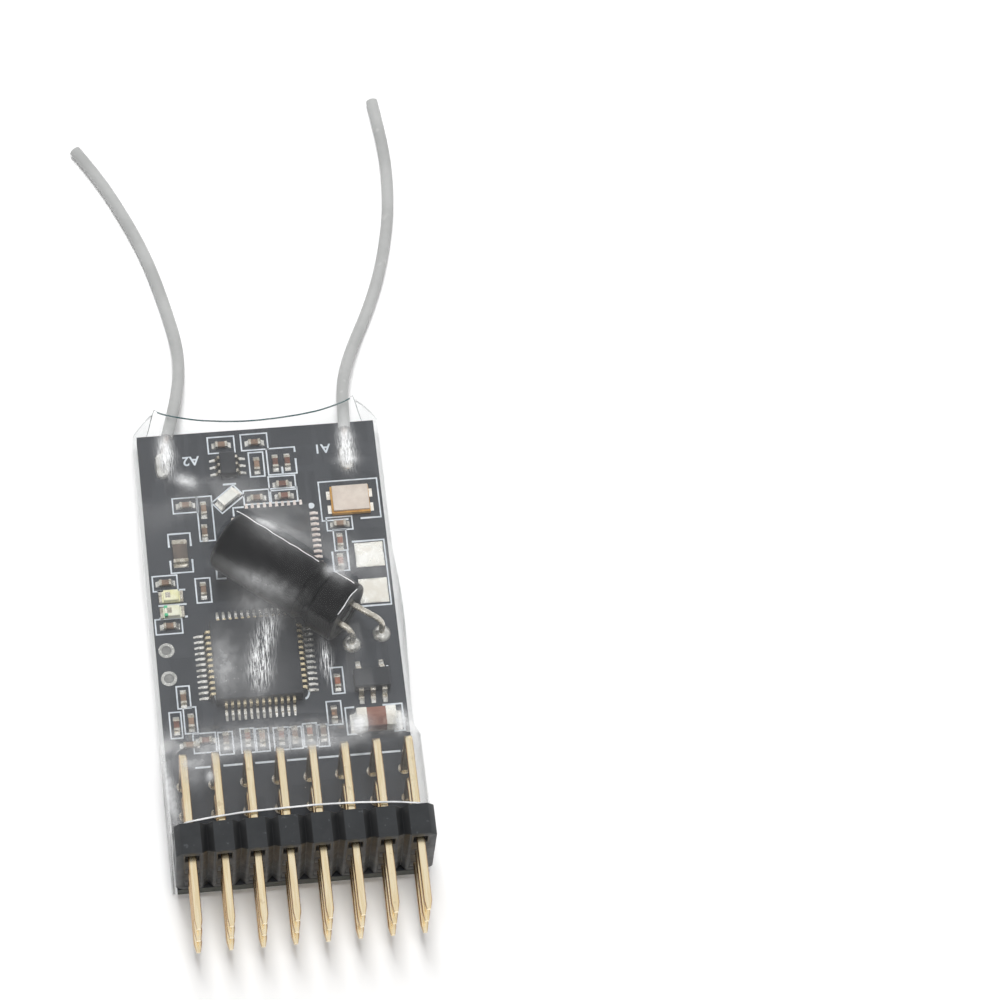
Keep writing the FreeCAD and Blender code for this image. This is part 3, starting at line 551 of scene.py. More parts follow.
@dataclass(frozen=True)
class EdgeFinish:
    """The cut edge of the film: bright at the pins with a painted highlight, and a thin dark green line at
    the far mouth.
    """

    name: str = "film_edge"
    near: Colour = seen(244, 245, 246)
    far: Colour = seen(52, 82, 86)
    reach: Pair = (-0.002, 0.016)

    def make(self) -> Material:
        """Build the material.

        Returns:
            The material.
        """
        sketch = Sketch(self.name)
        # Painted highlight: the edge is white near the pins and keeps its own dark green towards the mouth.
        along = sketch.span(sketch.part(sketch.place, "Y"), *self.reach)
        speckle = sketch.span(sketch.cloud(1500.0, 2.0), 0.35, 0.65, 0.85, 1.0)
        near = sketch.blend(speckle, seen(206, 208, 210), self.near)
        return sketch.close(sketch.surface(sketch.blend(along, near, self.far), 0.3).outputs[0])


Coating = Union[Finish, BoardFinish, SolderFinish, LeadFinish, GoldFinish, FilmFinish, EdgeFinish]


KINDS: dict[str, Coating] = {
    "mask": BoardFinish(),
    "ink": Finish("legend_ink", seen(226, 231, 236), seen(196, 203, 210), 900.0, (0.5, 0.65), grain=0.006),
    "header": Finish(
        "header_moulding", seen(48, 50, 52), seen(40, 42, 44), 500.0, (0.34, 0.46), specular=0.4,
        grain=0.008, speck=seen(92, 94, 98), speck_scale=2600.0, speck_share=0.35,
    ),
    "gold": GoldFinish(),
    "tin": SolderFinish("solder_tin"),
    "heaped": SolderFinish("heaped_tin", seen(255, 254, 248), seen(236, 231, 220), 0.10, 700.0, 0.35),
    "lead": SolderFinish("tinned_lead", seen(216, 211, 200), seen(168, 160, 144), 0.02, 3000.0),
    "chip": Finish(
        "package_epoxy", seen(42, 44, 48), seen(50, 52, 56), 600.0, (0.38, 0.5), grain=0.006,
        grain_scale=12000.0, speck=seen(70, 72, 76), speck_scale=5000.0, speck_share=0.3,
    ),
    "radio": Finish(
        "radio_epoxy", seen(62, 64, 67), seen(72, 74, 76), 500.0, (0.34, 0.48), grain=0.006,
        grain_scale=11000.0,
    ),
    "tray": Finish("crystal_tray", seen(196, 142, 66), seen(222, 172, 92), 1800.0, (0.35, 0.5), 0.35),
    "lid": Finish(
        "crystal_lid", seen(244, 232, 220), seen(228, 214, 202), 900.0, (0.28, 0.4), 0.7,
        grain=0.012, grain_scale=5000.0, stretch=(0.12, 2.2, 1.0),
    ),
    "jacket": Finish(
        "capacitor_jacket", seen(10, 10, 12), seen(17, 17, 19), 400.0, (0.3, 0.4), grain=0.0015,
        grain_scale=900.0, specular=0.25,
    ),
    "can": Finish(
        "capacitor_can", seen(214, 215, 214), seen(190, 191, 192), 800.0, (0.25, 0.4), 0.9,
        grain=0.01, grain_scale=2500.0,
    ),
    "rubber": Finish("capacitor_bung", seen(34, 34, 35), seen(46, 46, 46), 900.0, (0.6, 0.75)),
    "dark_glaze": Finish(
        "resistor_glaze", seen(66, 60, 58), seen(160, 104, 82), 190.0, (0.25, 0.4), grain=0.008,
        speck=seen(118, 112, 104), speck_scale=2400.0,
    ),
    "tan_ceramic": Finish(
        "capacitor_ceramic", seen(158, 132, 112), seen(104, 88, 78), 300.0, (0.35, 0.5), grain=0.01,
        speck=seen(198, 150, 116), speck_scale=1700.0,
    ),
    "brown_ceramic": Finish(
        "large_ceramic", seen(128, 88, 76), seen(146, 104, 90), 700.0, (0.32, 0.46), grain=0.01,
        speck=seen(176, 136, 122), speck_scale=2200.0, speck_share=0.4,
    ),
    "white_ceramic": Finish(
        "filter_ceramic", seen(236, 236, 230), seen(222, 221, 212), 900.0, (0.3, 0.42), grain=0.006,
    ),
    "yellow_glow": Finish(
        "lamp_yellow", seen(226, 222, 168), seen(238, 236, 206), 1200.0, (0.2, 0.3), coat=0.4,
    ),
    "green_glow": Finish(
        "lamp_pale", seen(226, 226, 198), seen(238, 238, 222), 1200.0, (0.2, 0.3), coat=0.4,
    ),
    "green_mark": Finish("lamp_mark", seen(70, 176, 128), seen(96, 196, 146), 1200.0, (0.3, 0.4)),
    "pink_pad": SolderFinish("radio_pad_tin", seen(240, 230, 224), seen(224, 208, 200), 0.02, 2500.0, 0.2),
    "pad_tin": SolderFinish("pad_tin", seen(214, 214, 210), seen(180, 180, 176), 0.01, 3000.0),
    "dull_pad": Finish("ring_centre", seen(150, 150, 148), seen(112, 112, 112), 1500.0, (0.4, 0.5), 0.3),
    "core": Finish("antenna_core", seen(176, 132, 96), seen(132, 104, 82), 900.0, (0.25, 0.4), 0.9),
    "grey_jacket": Finish(
        "antenna_jacket", seen(184, 185, 184), seen(170, 171, 170), 260.0, (0.34, 0.46), grain=0.01,
        grain_scale=2600.0, speck=seen(206, 206, 204), speck_scale=700.0, speck_share=0.4,
    ),
    "film": FilmFinish(),
    "film_edge": EdgeFinish(),
    # Painted highlight: the white of the film's front bead and of its crease lines.
    "bead": Finish("film_bead", seen(250, 250, 250), seen(206, 208, 210), 900.0, (0.2, 0.3)),
    "teal": Finish("mouth_bead", seen(40, 76, 80), seen(84, 106, 106), 700.0, (0.2, 0.3)),
    "foot": LeadFinish(),
    # Painted shade for the recesses between the header's columns.
    "notch_shade": Finish("header_notch", seen(24, 25, 26), seen(30, 31, 32), 500.0, (0.3, 0.42), specular=0.3),
    "grey_glaze": Finish(
        "sense_resistor_glaze", seen(88, 83, 78), seen(112, 100, 92), 600.0, (0.3, 0.42),
        grain=0.008, speck=seen(150, 120, 104), speck_scale=2600.0,
    ),
}


class Finishes:
    """Builds each finish once, when it is first asked for."""

    def __init__(self) -> None:
        """Start with none."""
        self.made: dict[str, Material] = {}

    def __getitem__(self, name: str) -> Material:
        """Give a finish's material.

        Args:
            name: The finish.

        Returns:
            Its material.
        """
        if name not in self.made:
            self.made[name] = KINDS[name].make()
        return self.made[name]


def stitched(mesh: bmesh.types.BMesh, rows: Sequence[Sequence[bmesh.types.BMVert]],
             closed: bool = True) -> list[bmesh.types.BMFace]:
    """Join each row of points to the next one by faces.

    Args:
        mesh: What the faces are added to.
        rows: Rows with the same number of points.
        closed: Whether each row is a ring.

    Returns:
        The faces.
    """
    faces = []
    for lower, upper in zip(rows, rows[1:]):
        for index in range(len(lower) if closed else len(lower) - 1):
            after = (index + 1) % len(lower)
            faces.append(mesh.faces.new((lower[index], lower[after], upper[after], upper[index])))
    return faces


class Shape:
    """Gathers closed shapes, drawn in board coordinates, into one mesh."""

    def __init__(self) -> None:
        """Start with nothing."""
        self.mesh = bmesh.new()

    def box(self, middle: Point, size: Point, turn: float = 0.0, round_by: float = 0.0,
            paint: int = 0) -> None:
        """Add a box that stands on a level.

        Args:
            middle: x and y of its middle, and z of its underside.
            size: Length, width and height before it is turned.
            turn: Degrees about the upright axis.
            round_by: Radius of its rounded edges.
            paint: Material number.
        """
        place = (Matrix.Translation((middle[0], middle[1], middle[2] + size[2] / 2))
                 @ Matrix.Rotation(math.radians(turn), 4, "Z") @ Matrix.Diagonal((*size, 1.0)))
        made = bmesh.ops.create_cube(self.mesh, size=1.0, matrix=place)
        for face in {face for vert in made["verts"] for face in vert.link_faces}:
            face.material_index = paint
        if round_by > 0.0:
            edges = dict.fromkeys(edge for vert in made["verts"] for edge in vert.link_edges)
            cut = bmesh.ops.bevel(self.mesh, geom=list(edges), offset=round_by, segments=2, affect="EDGES",
                                  profile=0.5, clamp_overlap=True)
            for face in cut["faces"]:
                face.material_index = paint

    def loft(self, rings: Sequence[Sequence[Point]], paint: int = 0) -> None:
        """Join rings of points into a closed skin with both ends filled.

        Args:
            rings: Rings with the same number of points.
            paint: Material number.
        """
        rows = [[self.mesh.verts.new(point) for point in ring] for ring in rings]
        ends = [self.mesh.faces.new(rows[0][::-1]), self.mesh.faces.new(rows[-1])]
        for face in ends + stitched(self.mesh, rows):
            face.material_index = paint

    def sweep(self, path: Sequence[Point], section: Sequence[Pair], scales: Sequence[float],
              paint: int = 0) -> None:
        """Carry a flat section along a path.

        Args:
            path: Points of the centreline.
            section: Points of the section, across and up.
            scales: Scale of the section at each point.
            paint: Material number.
        """
        points = [Vector(point) for point in path]
        side = None
        rings = []
        for index, point in enumerate(points):
            ahead = points[min(index + 1, len(points) - 1)] - points[max(index - 1, 0)]
            ahead.normalize()
            if side is None:
                side = ahead.cross(Vector((0.0, 0.0, 1.0)))
                if side.length < 0.1:
                    side = Vector((1.0, 0.0, 0.0))
            side = (side - ahead * side.dot(ahead)).normalized()
            above = side.cross(ahead)
            size = scales[index]
            rings.append([tuple(point + side * (a * size) + above * (b * size)) for a, b in section])
        self.loft(rings, paint)

    def spin(self, outline: Sequence[Pair], start: Point, heading: Point, steps: int = 64,
             paint: int = 0) -> None:
        """Turn an open outline about an axis; an outline that starts and ends on the axis closes itself.

        Args:
            outline: Distance along the axis and radius of each point.
            start: Where the axis starts.
            heading: Its direction.
            steps: Points around.
            paint: Material number.
        """
        axis = Vector(heading).normalized()
        side = axis.orthogonal().normalized()
        above = side.cross(axis)
        rows = []
        for along, radius in outline:
            base = Vector(start) + axis * along
            if radius < 1e-6:
                rows.append([self.mesh.verts.new(base)])
                continue
            ring = []
            for step in range(steps):
                angle = math.tau * step / steps
                out = side * math.cos(angle) + above * math.sin(angle)
                ring.append(self.mesh.verts.new(base + out * radius))
            rows.append(ring)
        for lower, upper in zip(rows, rows[1:]):
            for step in range(steps):
                after = (step + 1) % steps
                corners = [lower[step % len(lower)], lower[after % len(lower)],
                           upper[after % len(upper)], upper[step % len(upper)]]
                face = self.mesh.faces.new(list(dict.fromkeys(corners)))
                face.material_index = paint

    def finished(self, name: str, paints: Sequence[Material],
                 smooth: float = SMOOTH) -> Object:
        """Move the gathered shapes into the frame and make them an object.

        Args:
            name: The object's name.
            paints: Its materials.
            smooth: Greatest angle in degrees that is shaded smoothly.

        Returns:
            The object, linked to the scene.
        """
        bmesh.ops.recalc_face_normals(self.mesh, faces=self.mesh.faces)
        self.mesh.transform(TO_PART)
        data = bpy.data.meshes.new(name)
        self.mesh.to_mesh(data)
        self.mesh.free()
        return dressed(name, data, paints, smooth)


def linked(name: str, data: bpy.types.ID) -> Object:
    """Make an object and link it to the scene.

    Args:
        name: Its name.
        data: Its mesh, curve, lamp or camera.

    Returns:
        The object.
    """
    made = bpy.data.objects.new(name, data)
    bpy.context.scene.collection.objects.link(made)
    return made


def repaint(node: Object, paint: Material) -> None:
    """Put one finish on a node of the frame in place of its own."""
    node.data.materials.clear()
    node.data.materials.append(paint)


def dressed(name: str, data: Mesh, paints: Sequence[Material],
            smooth: float = SMOOTH) -> Object:
    """Make an object of a mesh that is already in the frame.

    Args:
        name: The object's name.
        data: The mesh.
        paints: Its materials.
        smooth: Greatest angle in degrees that is shaded smoothly.

    Returns:
        The object, linked to the scene.
    """
    for paint in paints:
        data.materials.append(paint)
    data.shade_smooth()
    data.set_sharp_from_angle(angle=math.radians(smooth))
    return linked(name, data)


def hand_over(piece: Object, slot: Slot, *nodes: str) -> None:
    """Fix a finished piece to the receiver's body.

    Args:
        piece: The piece, in place.
        slot: The piece's material slot; not used.
        nodes: The frame's nodes that it stands for.
    """
    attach(piece, BODY)
    if nodes:
        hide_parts(*nodes)
    LOG.info("%s: %d faces", piece.name, len(piece.data.polygons) if piece.type == "MESH" else 0)


def settled(piece: Object) -> Object:
    """Turn what a piece's modifiers give into its plain mesh, and take the modifiers off.

    Args:
        piece: The piece.

    Returns:
        The same piece.
    """
    bpy.context.view_layer.update()
    evaluated = piece.evaluated_get(bpy.context.evaluated_depsgraph_get())
    fresh = bpy.data.meshes.new_from_object(evaluated)
    piece.modifiers.clear()
    piece.data = fresh
    return piece


def softened(node: Object, name: str, width: float,
             paint: Material) -> Object:
    """Copy a node of the frame with its sharp edges rounded.

    Args:
        node: The frame's object.
        name: Name of the copy.
        width: Width of the rounding in millimetres.
        paint: Its material.

    Returns:
        The new object.
    """
    shape = bmesh.new()
    shape.from_mesh(node.data)
    bmesh.ops.remove_doubles(shape, verts=shape.verts, dist=1e-7)
    bmesh.ops.dissolve_limit(shape, angle_limit=math.radians(1.0), verts=shape.verts, edges=shape.edges)
    sharp = [edge for edge in shape.edges
             if len(edge.link_faces) == 2 and edge.calc_face_angle() > math.radians(25)]
    bmesh.ops.bevel(shape, geom=sharp, offset=width * MM, segments=2, affect="EDGES", profile=0.5,
                    clamp_overlap=True)
    data = bpy.data.meshes.new(name)
    shape.to_mesh(data)
    shape.free()
    return dressed(name, data, [paint])


class NodeBench:
    """Builds and runs the Geometry Nodes trees that repeat a part or carry a section along lines."""

    @staticmethod
    def start(name: str, **inputs: str) -> NodeTree:
        """Start a tree with the geometry as its first input and the finish as its last one.

        Args:
            name: The tree's name.
            inputs: Kind of each input between these, by its name.

        Returns:
            The tree, with its group input and output nodes.
        """
        tree = bpy.data.node_groups.new(name, "GeometryNodeTree")
        tree.interface.new_socket("Geometry", in_out="OUTPUT", socket_type="NodeSocketGeometry")
        for label, kind in (("Geometry", "Geometry"), *inputs.items(), ("Finish", "Material")):
            tree.interface.new_socket(label, in_out="INPUT", socket_type="NodeSocket" + kind)
        tree.nodes.new("NodeGroupInput").name = "start"
        tree.nodes.new("NodeGroupOutput").name = "end"
        return tree

    @staticmethod
    def coated(tree: NodeTree, geometry: Socket) -> None:
        """End a tree with real geometry that carries the material of its Finish input.

        Args:
            tree: The tree.
            geometry: The geometry that it ends with.
        """
        real = tree.nodes.new("GeometryNodeRealizeInstances")
        coat = tree.nodes.new("GeometryNodeSetMaterial")
        for source, target in ((geometry, real.inputs[0]), (real.outputs[0], coat.inputs["Geometry"]),
                               (tree.nodes["start"].outputs["Finish"], coat.inputs["Material"]),
                               (coat.outputs[0], tree.nodes["end"].inputs[0])):
            tree.links.new(source, target)

    @staticmethod
    def run(name: str, data: Mesh, tree: NodeTree, values: dict[str, object],
            paint: Material) -> Object:
        """Run a tree on a mesh and keep the result as a plain piece.

        Args:
            name: Name of the piece.
            data: The mesh that the tree starts from.
            tree: The tree.
            values: Values of its inputs by name.
            paint: The piece's material.

        Returns:
            The piece.
        """
        piece = linked(name, data)
        modifier = piece.modifiers.new("nodes", "NODES")
        modifier.node_group = tree
        sockets = {item.name: item.identifier for item in tree.interface.items_tree
                   if item.item_type == "SOCKET" and item.in_out == "INPUT"}
        for label, value in values.items():
            modifier[sockets[label]] = value
        settled(piece)
        result = piece.data
        bpy.data.objects.remove(piece)
        result.materials.clear()
        return dressed(name, result, [paint])

    @classmethod
    def repeat(cls, name: str, part: Shape, spots: Sequence[tuple[Point, float]],
               paint: Material, size: float = 1.0) -> Object:
        """Set copies of a part at spots on the board.

        Args:
            name: Name of the piece.
            part: The part, drawn about its own origin.
            spots: Place and turn in degrees of each copy.
            paint: The material.
            size: Scale of every copy.

        Returns:
            The piece.
        """
        bmesh.ops.recalc_face_normals(part.mesh, faces=part.mesh.faces)
        part.mesh.transform(Matrix.Scale(MM, 4))
        one = bpy.data.meshes.new(name + "_one")
        part.mesh.to_mesh(one)
        part.mesh.free()
        pattern = linked(name + "_one", one)
        points = bpy.data.meshes.new(name + "_spots")
        points.from_pydata([TO_PART @ Vector(place) for place, _ in spots], [], [])
        turns = points.attributes.new("turn", "FLOAT", "POINT")
        turns.data.foreach_set("value", [math.radians(turn) for _, turn in spots])
        tree = cls.start(name + "_tree", Part="Object", Size="Float")
        nodes, links = tree.nodes, tree.links
        begin = nodes["start"]
        info = nodes.new("GeometryNodeObjectInfo")
        links.new(begin.outputs["Part"], info.inputs["Object"])
        turn = nodes.new("GeometryNodeInputNamedAttribute")
        turn.inputs["Name"].default_value = "turn"
        euler = nodes.new("ShaderNodeCombineXYZ")
        links.new(turn.outputs["Attribute"], euler.inputs["Z"])
        place = nodes.new("GeometryNodeInstanceOnPoints")
        links.new(begin.outputs["Geometry"], place.inputs["Points"])
        links.new(info.outputs["Geometry"], place.inputs["Instance"])
        links.new(euler.outputs[0], place.inputs["Rotation"])
        links.new(begin.outputs["Size"], place.inputs["Scale"])
        cls.coated(tree, place.outputs[0])
        piece = cls.run(name, points, tree, {"Part": pattern, "Size": size, "Finish": paint}, paint)
        bpy.data.objects.remove(pattern)
        return piece

    @classmethod
    def lines(cls, name: str, paths: Sequence[Sequence[Point]], width: float, height: float,
              paint: Material) -> Object:
        """Lay a flat raised line along each path on the board.

        Args:
            name: Name of the piece.
            paths: Points of each line; a line that ends where it starts is closed.
            width: Width of the line in millimetres.
            height: Its height in millimetres.
            paint: The material.

        Returns:
            The piece.
        """
        points: list[Vector] = []
        edges: list[tuple[int, int]] = []
        for path in paths:
            closed = path[0] == path[-1]
            own = list(path[:-1]) if closed else list(path)
            base = len(points)
            points += [TO_PART @ Vector(point) for point in own]
            edges += [(base + index, base + index + 1) for index in range(len(own) - 1)]
            if closed:
                edges.append((base + len(own) - 1, base))
        data = bpy.data.meshes.new(name + "_paths")
        data.from_pydata(points, edges, [])
        tree = cls.start(name + "_tree", Width="Float", Height="Float")
        nodes, links = tree.nodes, tree.links
        begin = nodes["start"]
        curve = nodes.new("GeometryNodeMeshToCurve")
        upright = nodes.new("GeometryNodeSetCurveNormal")
        upright.mode = "Z_UP"
        section = nodes.new("GeometryNodeCurvePrimitiveQuadrilateral")
        carry = nodes.new("GeometryNodeCurveToMesh")
        carry.inputs["Fill Caps"].default_value = True
        links.new(begin.outputs["Geometry"], curve.inputs[0])
        links.new(curve.outputs[0], upright.inputs[0])
        links.new(upright.outputs[0], carry.inputs["Curve"])
        links.new(begin.outputs["Width"], section.inputs["Width"])
        links.new(begin.outputs["Height"], section.inputs["Height"])
        links.new(section.outputs[0], carry.inputs["Profile Curve"])
        cls.coated(tree, carry.outputs[0])
        values = {"Width": width * MM, "Height": height * MM, "Finish": paint}
        return cls.run(name, data, tree, values, paint)


def rounded_square(width: float, corner: float, steps: int = 2) -> list[Pair]:
    """Give the outline of a square with rounded corners.

    Args:
        width: Its width.
        corner: Radius of its corners.
        steps: Points on each corner after the first.

    Returns:
        Points, anticlockwise.
    """
    reach = width / 2 - corner
    points = []
    for quarter, (across, up) in enumerate(((1, 1), (-1, 1), (-1, -1), (1, -1))):
        for step in range(steps + 1):
            angle = math.radians(90 * (quarter + step / steps))
            points.append((across * reach + corner * math.cos(angle),
                           up * reach + corner * math.sin(angle)))
    return points


@dataclass
class Studio:
    """White floor, soft light from above and the photograph's camera."""

    lens: float = 144.639
    spot: Point = (-0.0195106, -0.1328542, 0.2994058)
    right: Point = (0.9902125432, -0.1201083657, 0.0710851579)
    down: Point = (-0.0757211517, -0.8901745713, -0.4492833624)
    ahead: Point = (0.1172408904, 0.4395033709, -0.8905567700)
    surround: float = 0.42
    floor_reach: float = 1.5
    floor_colour: Colour = (0.96, 0.96, 0.96)
    floor_glow: float = 0.04

    def build(self) -> None:
        """Set up the view, the world, the floor and the lamps."""
        scene = bpy.context.scene
        scene.view_settings.view_transform = "Standard"
        self.camera(scene)
        self.world(scene)
        self.floor()
        self.lamp("overhead", (-0.01, 0.07, 0.52), (0.0, -0.01, 0.0), (0.11, 0.40), 2.15, False)
        self.lamp("front_fill", (0.10, -0.40, 0.34), (0.0, 0.0, 0.0), (0.30, 0.20), 0.25)
        self.lamp("back_strip", (0.10, 0.42, 0.26), (0.0, 0.0, 0.004), (0.30, 0.05), 0.18, False)

    def camera(self, scene: Scene) -> None:
        """Place the camera.

        Args:
            scene: The scene it belongs to.
        """
        data = bpy.data.cameras.new("camera")
        data.lens = self.lens
        data.sensor_width = 36.0
        data.clip_start = 0.01
        camera = linked("camera", data)
        axes = [Vector(self.right), -Vector(self.down), -Vector(self.ahead)]
        turn = Matrix(axes).transposed().to_4x4()
        camera.matrix_world = Matrix.Translation(self.spot) @ turn
        scene.camera = camera

    def world(self, scene: Scene) -> None:
        """Make the world white to sight and mirrors, and softer as a light.

        Args:
            scene: The scene it belongs to.
        """
        world = bpy.data.worlds.new("studio")
        world.use_nodes = True
        scene.world = world
        tree = world.node_tree
        tree.nodes.clear()
        sight = self.sight(tree)
        pick = tree.nodes.new("ShaderNodeMapRange")
        tree.links.new(sight, pick.inputs["Value"])
        pick.inputs["To Min"].default_value = self.surround
        pick.inputs["To Max"].default_value = 1.0
        back = tree.nodes.new("ShaderNodeBackground")
        tree.links.new(pick.outputs[0], back.inputs["Strength"])
        out = tree.nodes.new("ShaderNodeOutputWorld")
        tree.links.new(back.outputs[0], out.inputs[0])

    @staticmethod
    def sight(tree: NodeTree) -> Socket:
        """Give 1 for rays from the camera, a mirror or glass, and 0 for light.

        Args:
            tree: The tree that asks.

        Returns:
            The value.
        """
        path = tree.nodes.new("ShaderNodeLightPath")
        last = path.outputs["Is Camera Ray"]
        for name in ("Is Glossy Ray", "Is Transmission Ray"):
            join = tree.nodes.new("ShaderNodeMath")
            join.operation = "MAXIMUM"
            tree.links.new(last, join.inputs[0])
            tree.links.new(path.outputs[name], join.inputs[1])
            last = join.outputs[0]
        return last

    def floor(self) -> None:
        """Lay the white floor, which keeps the receiver's soft shadow."""
        data = bpy.data.meshes.new("floor")
        far = self.floor_reach
        corners = [(-far, -far, 0), (far, -far, 0), (far, far, 0), (-far, far, 0)]
        data.from_pydata(corners, [], [(0, 1, 2, 3)])
        sketch = Sketch("white_floor")
        matt = sketch.add("ShaderNodeBsdfDiffuse")
        sketch.feed(matt.inputs["Color"], self.floor_colour)
        glow = sketch.add("ShaderNodeEmission")
        lift = sketch.maths("MULTIPLY", self.sight(sketch.material.node_tree), self.floor_glow)
        sketch.feed(glow.inputs["Strength"], lift)
        both = sketch.add("ShaderNodeAddShader")
        sketch.feed(both.inputs[0], matt.outputs[0])
        sketch.feed(both.inputs[1], glow.outputs[0])
        data.materials.append(sketch.close(both.outputs[0]))
        linked("floor", data)

    @staticmethod
    def lamp(name: str, spot: Point, aim: Point, size: Pair, watts: float,
             mirrored: bool = True) -> None:
        """Hang a soft lamp.

        Args:
            name: Its name.
            spot: Where it hangs.
            aim: What it points at.
            size: Its width and height.
            watts: Its power.
            mirrored: Whether shiny surfaces show it.
        """
        data = bpy.data.lights.new(name, "AREA")
        data.shape = "RECTANGLE"
        data.size, data.size_y = size
        data.energy = watts
        lamp = linked(name, data)
        lamp.visible_glossy = mirrored
        heading = Vector(aim) - Vector(spot)
        lamp.matrix_world = Matrix.Translation(spot) @ heading.to_track_quat("-Z", "Y").to_matrix().to_4x4()


@dataclass
class Antennas:
    """The two grey antenna leads, each one smooth curve from its joint to its bare end."""

    finishes: Finishes
    diameter: float = 0.001
    left: tuple[Point, ...] = (
        (-0.00740, 0.02175, 0.00268), (-0.00698, 0.02310, 0.00266), (-0.00630, 0.02565, 0.00215),
        (-0.00583, 0.02825, 0.00138), (-0.00573, 0.03130, 0.00072), (-0.00624, 0.03439, 0.00053),
        (-0.00712, 0.03840, 0.00053), (-0.00807, 0.04151, 0.00053), (-0.00942, 0.04491, 0.00053),
        (-0.01116, 0.04861, 0.00053), (-0.01289, 0.05137, 0.00053),
    )
    right: tuple[Point, ...] = (
        (0.00736, 0.02130, 0.00268), (0.00744, 0.02275, 0.00266), (0.00756, 0.02495, 0.00218),
        (0.00806, 0.02754, 0.00138), (0.00922, 0.03052, 0.00072), (0.01069, 0.03349, 0.00053),
        (0.01210, 0.03710, 0.00053), (0.01312, 0.04101, 0.00053), (0.01362, 0.04406, 0.00053),
        (0.01384, 0.04763, 0.00053), (0.01369, 0.05101, 0.00053), (0.01329, 0.05446, 0.00053),
    )

    def build(self) -> None:
        """Build both leads."""
        self.lead("antenna_lead_left", "antenna_left", self.left, 0.0314)
        self.lead("antenna_lead_right", "antenna_right", self.right, 0.0344)

    def lead(self, name: str, node: str, points: Sequence[Point], length: float) -> None:
        """Build one lead.

        Args:
            name: Name of the piece.
            node: The frame's tube that it stands for.
            points: Its route.
            length: Its real length in metres; not used.
        """
        curve = bpy.data.curves.new(name, "CURVE")
        curve.dimensions = "3D"
        curve.bevel_depth = self.diameter / 2
        curve.bevel_resolution = 6
        curve.resolution_u = 10
        curve.use_fill_caps = True
        spline = curve.splines.new("NURBS")
        spline.points.add(len(points) - 1)
        for spot, place in zip(spline.points, points):
            spot.co = (*place, 1.0)
        spline.order_u = 3
        spline.use_endpoint_u = True
        curve.materials.append(self.finishes["grey_jacket"])
        piece = linked(name, curve)
        hand_over(piece, Slot.ANTENNA, node)
        points[0]


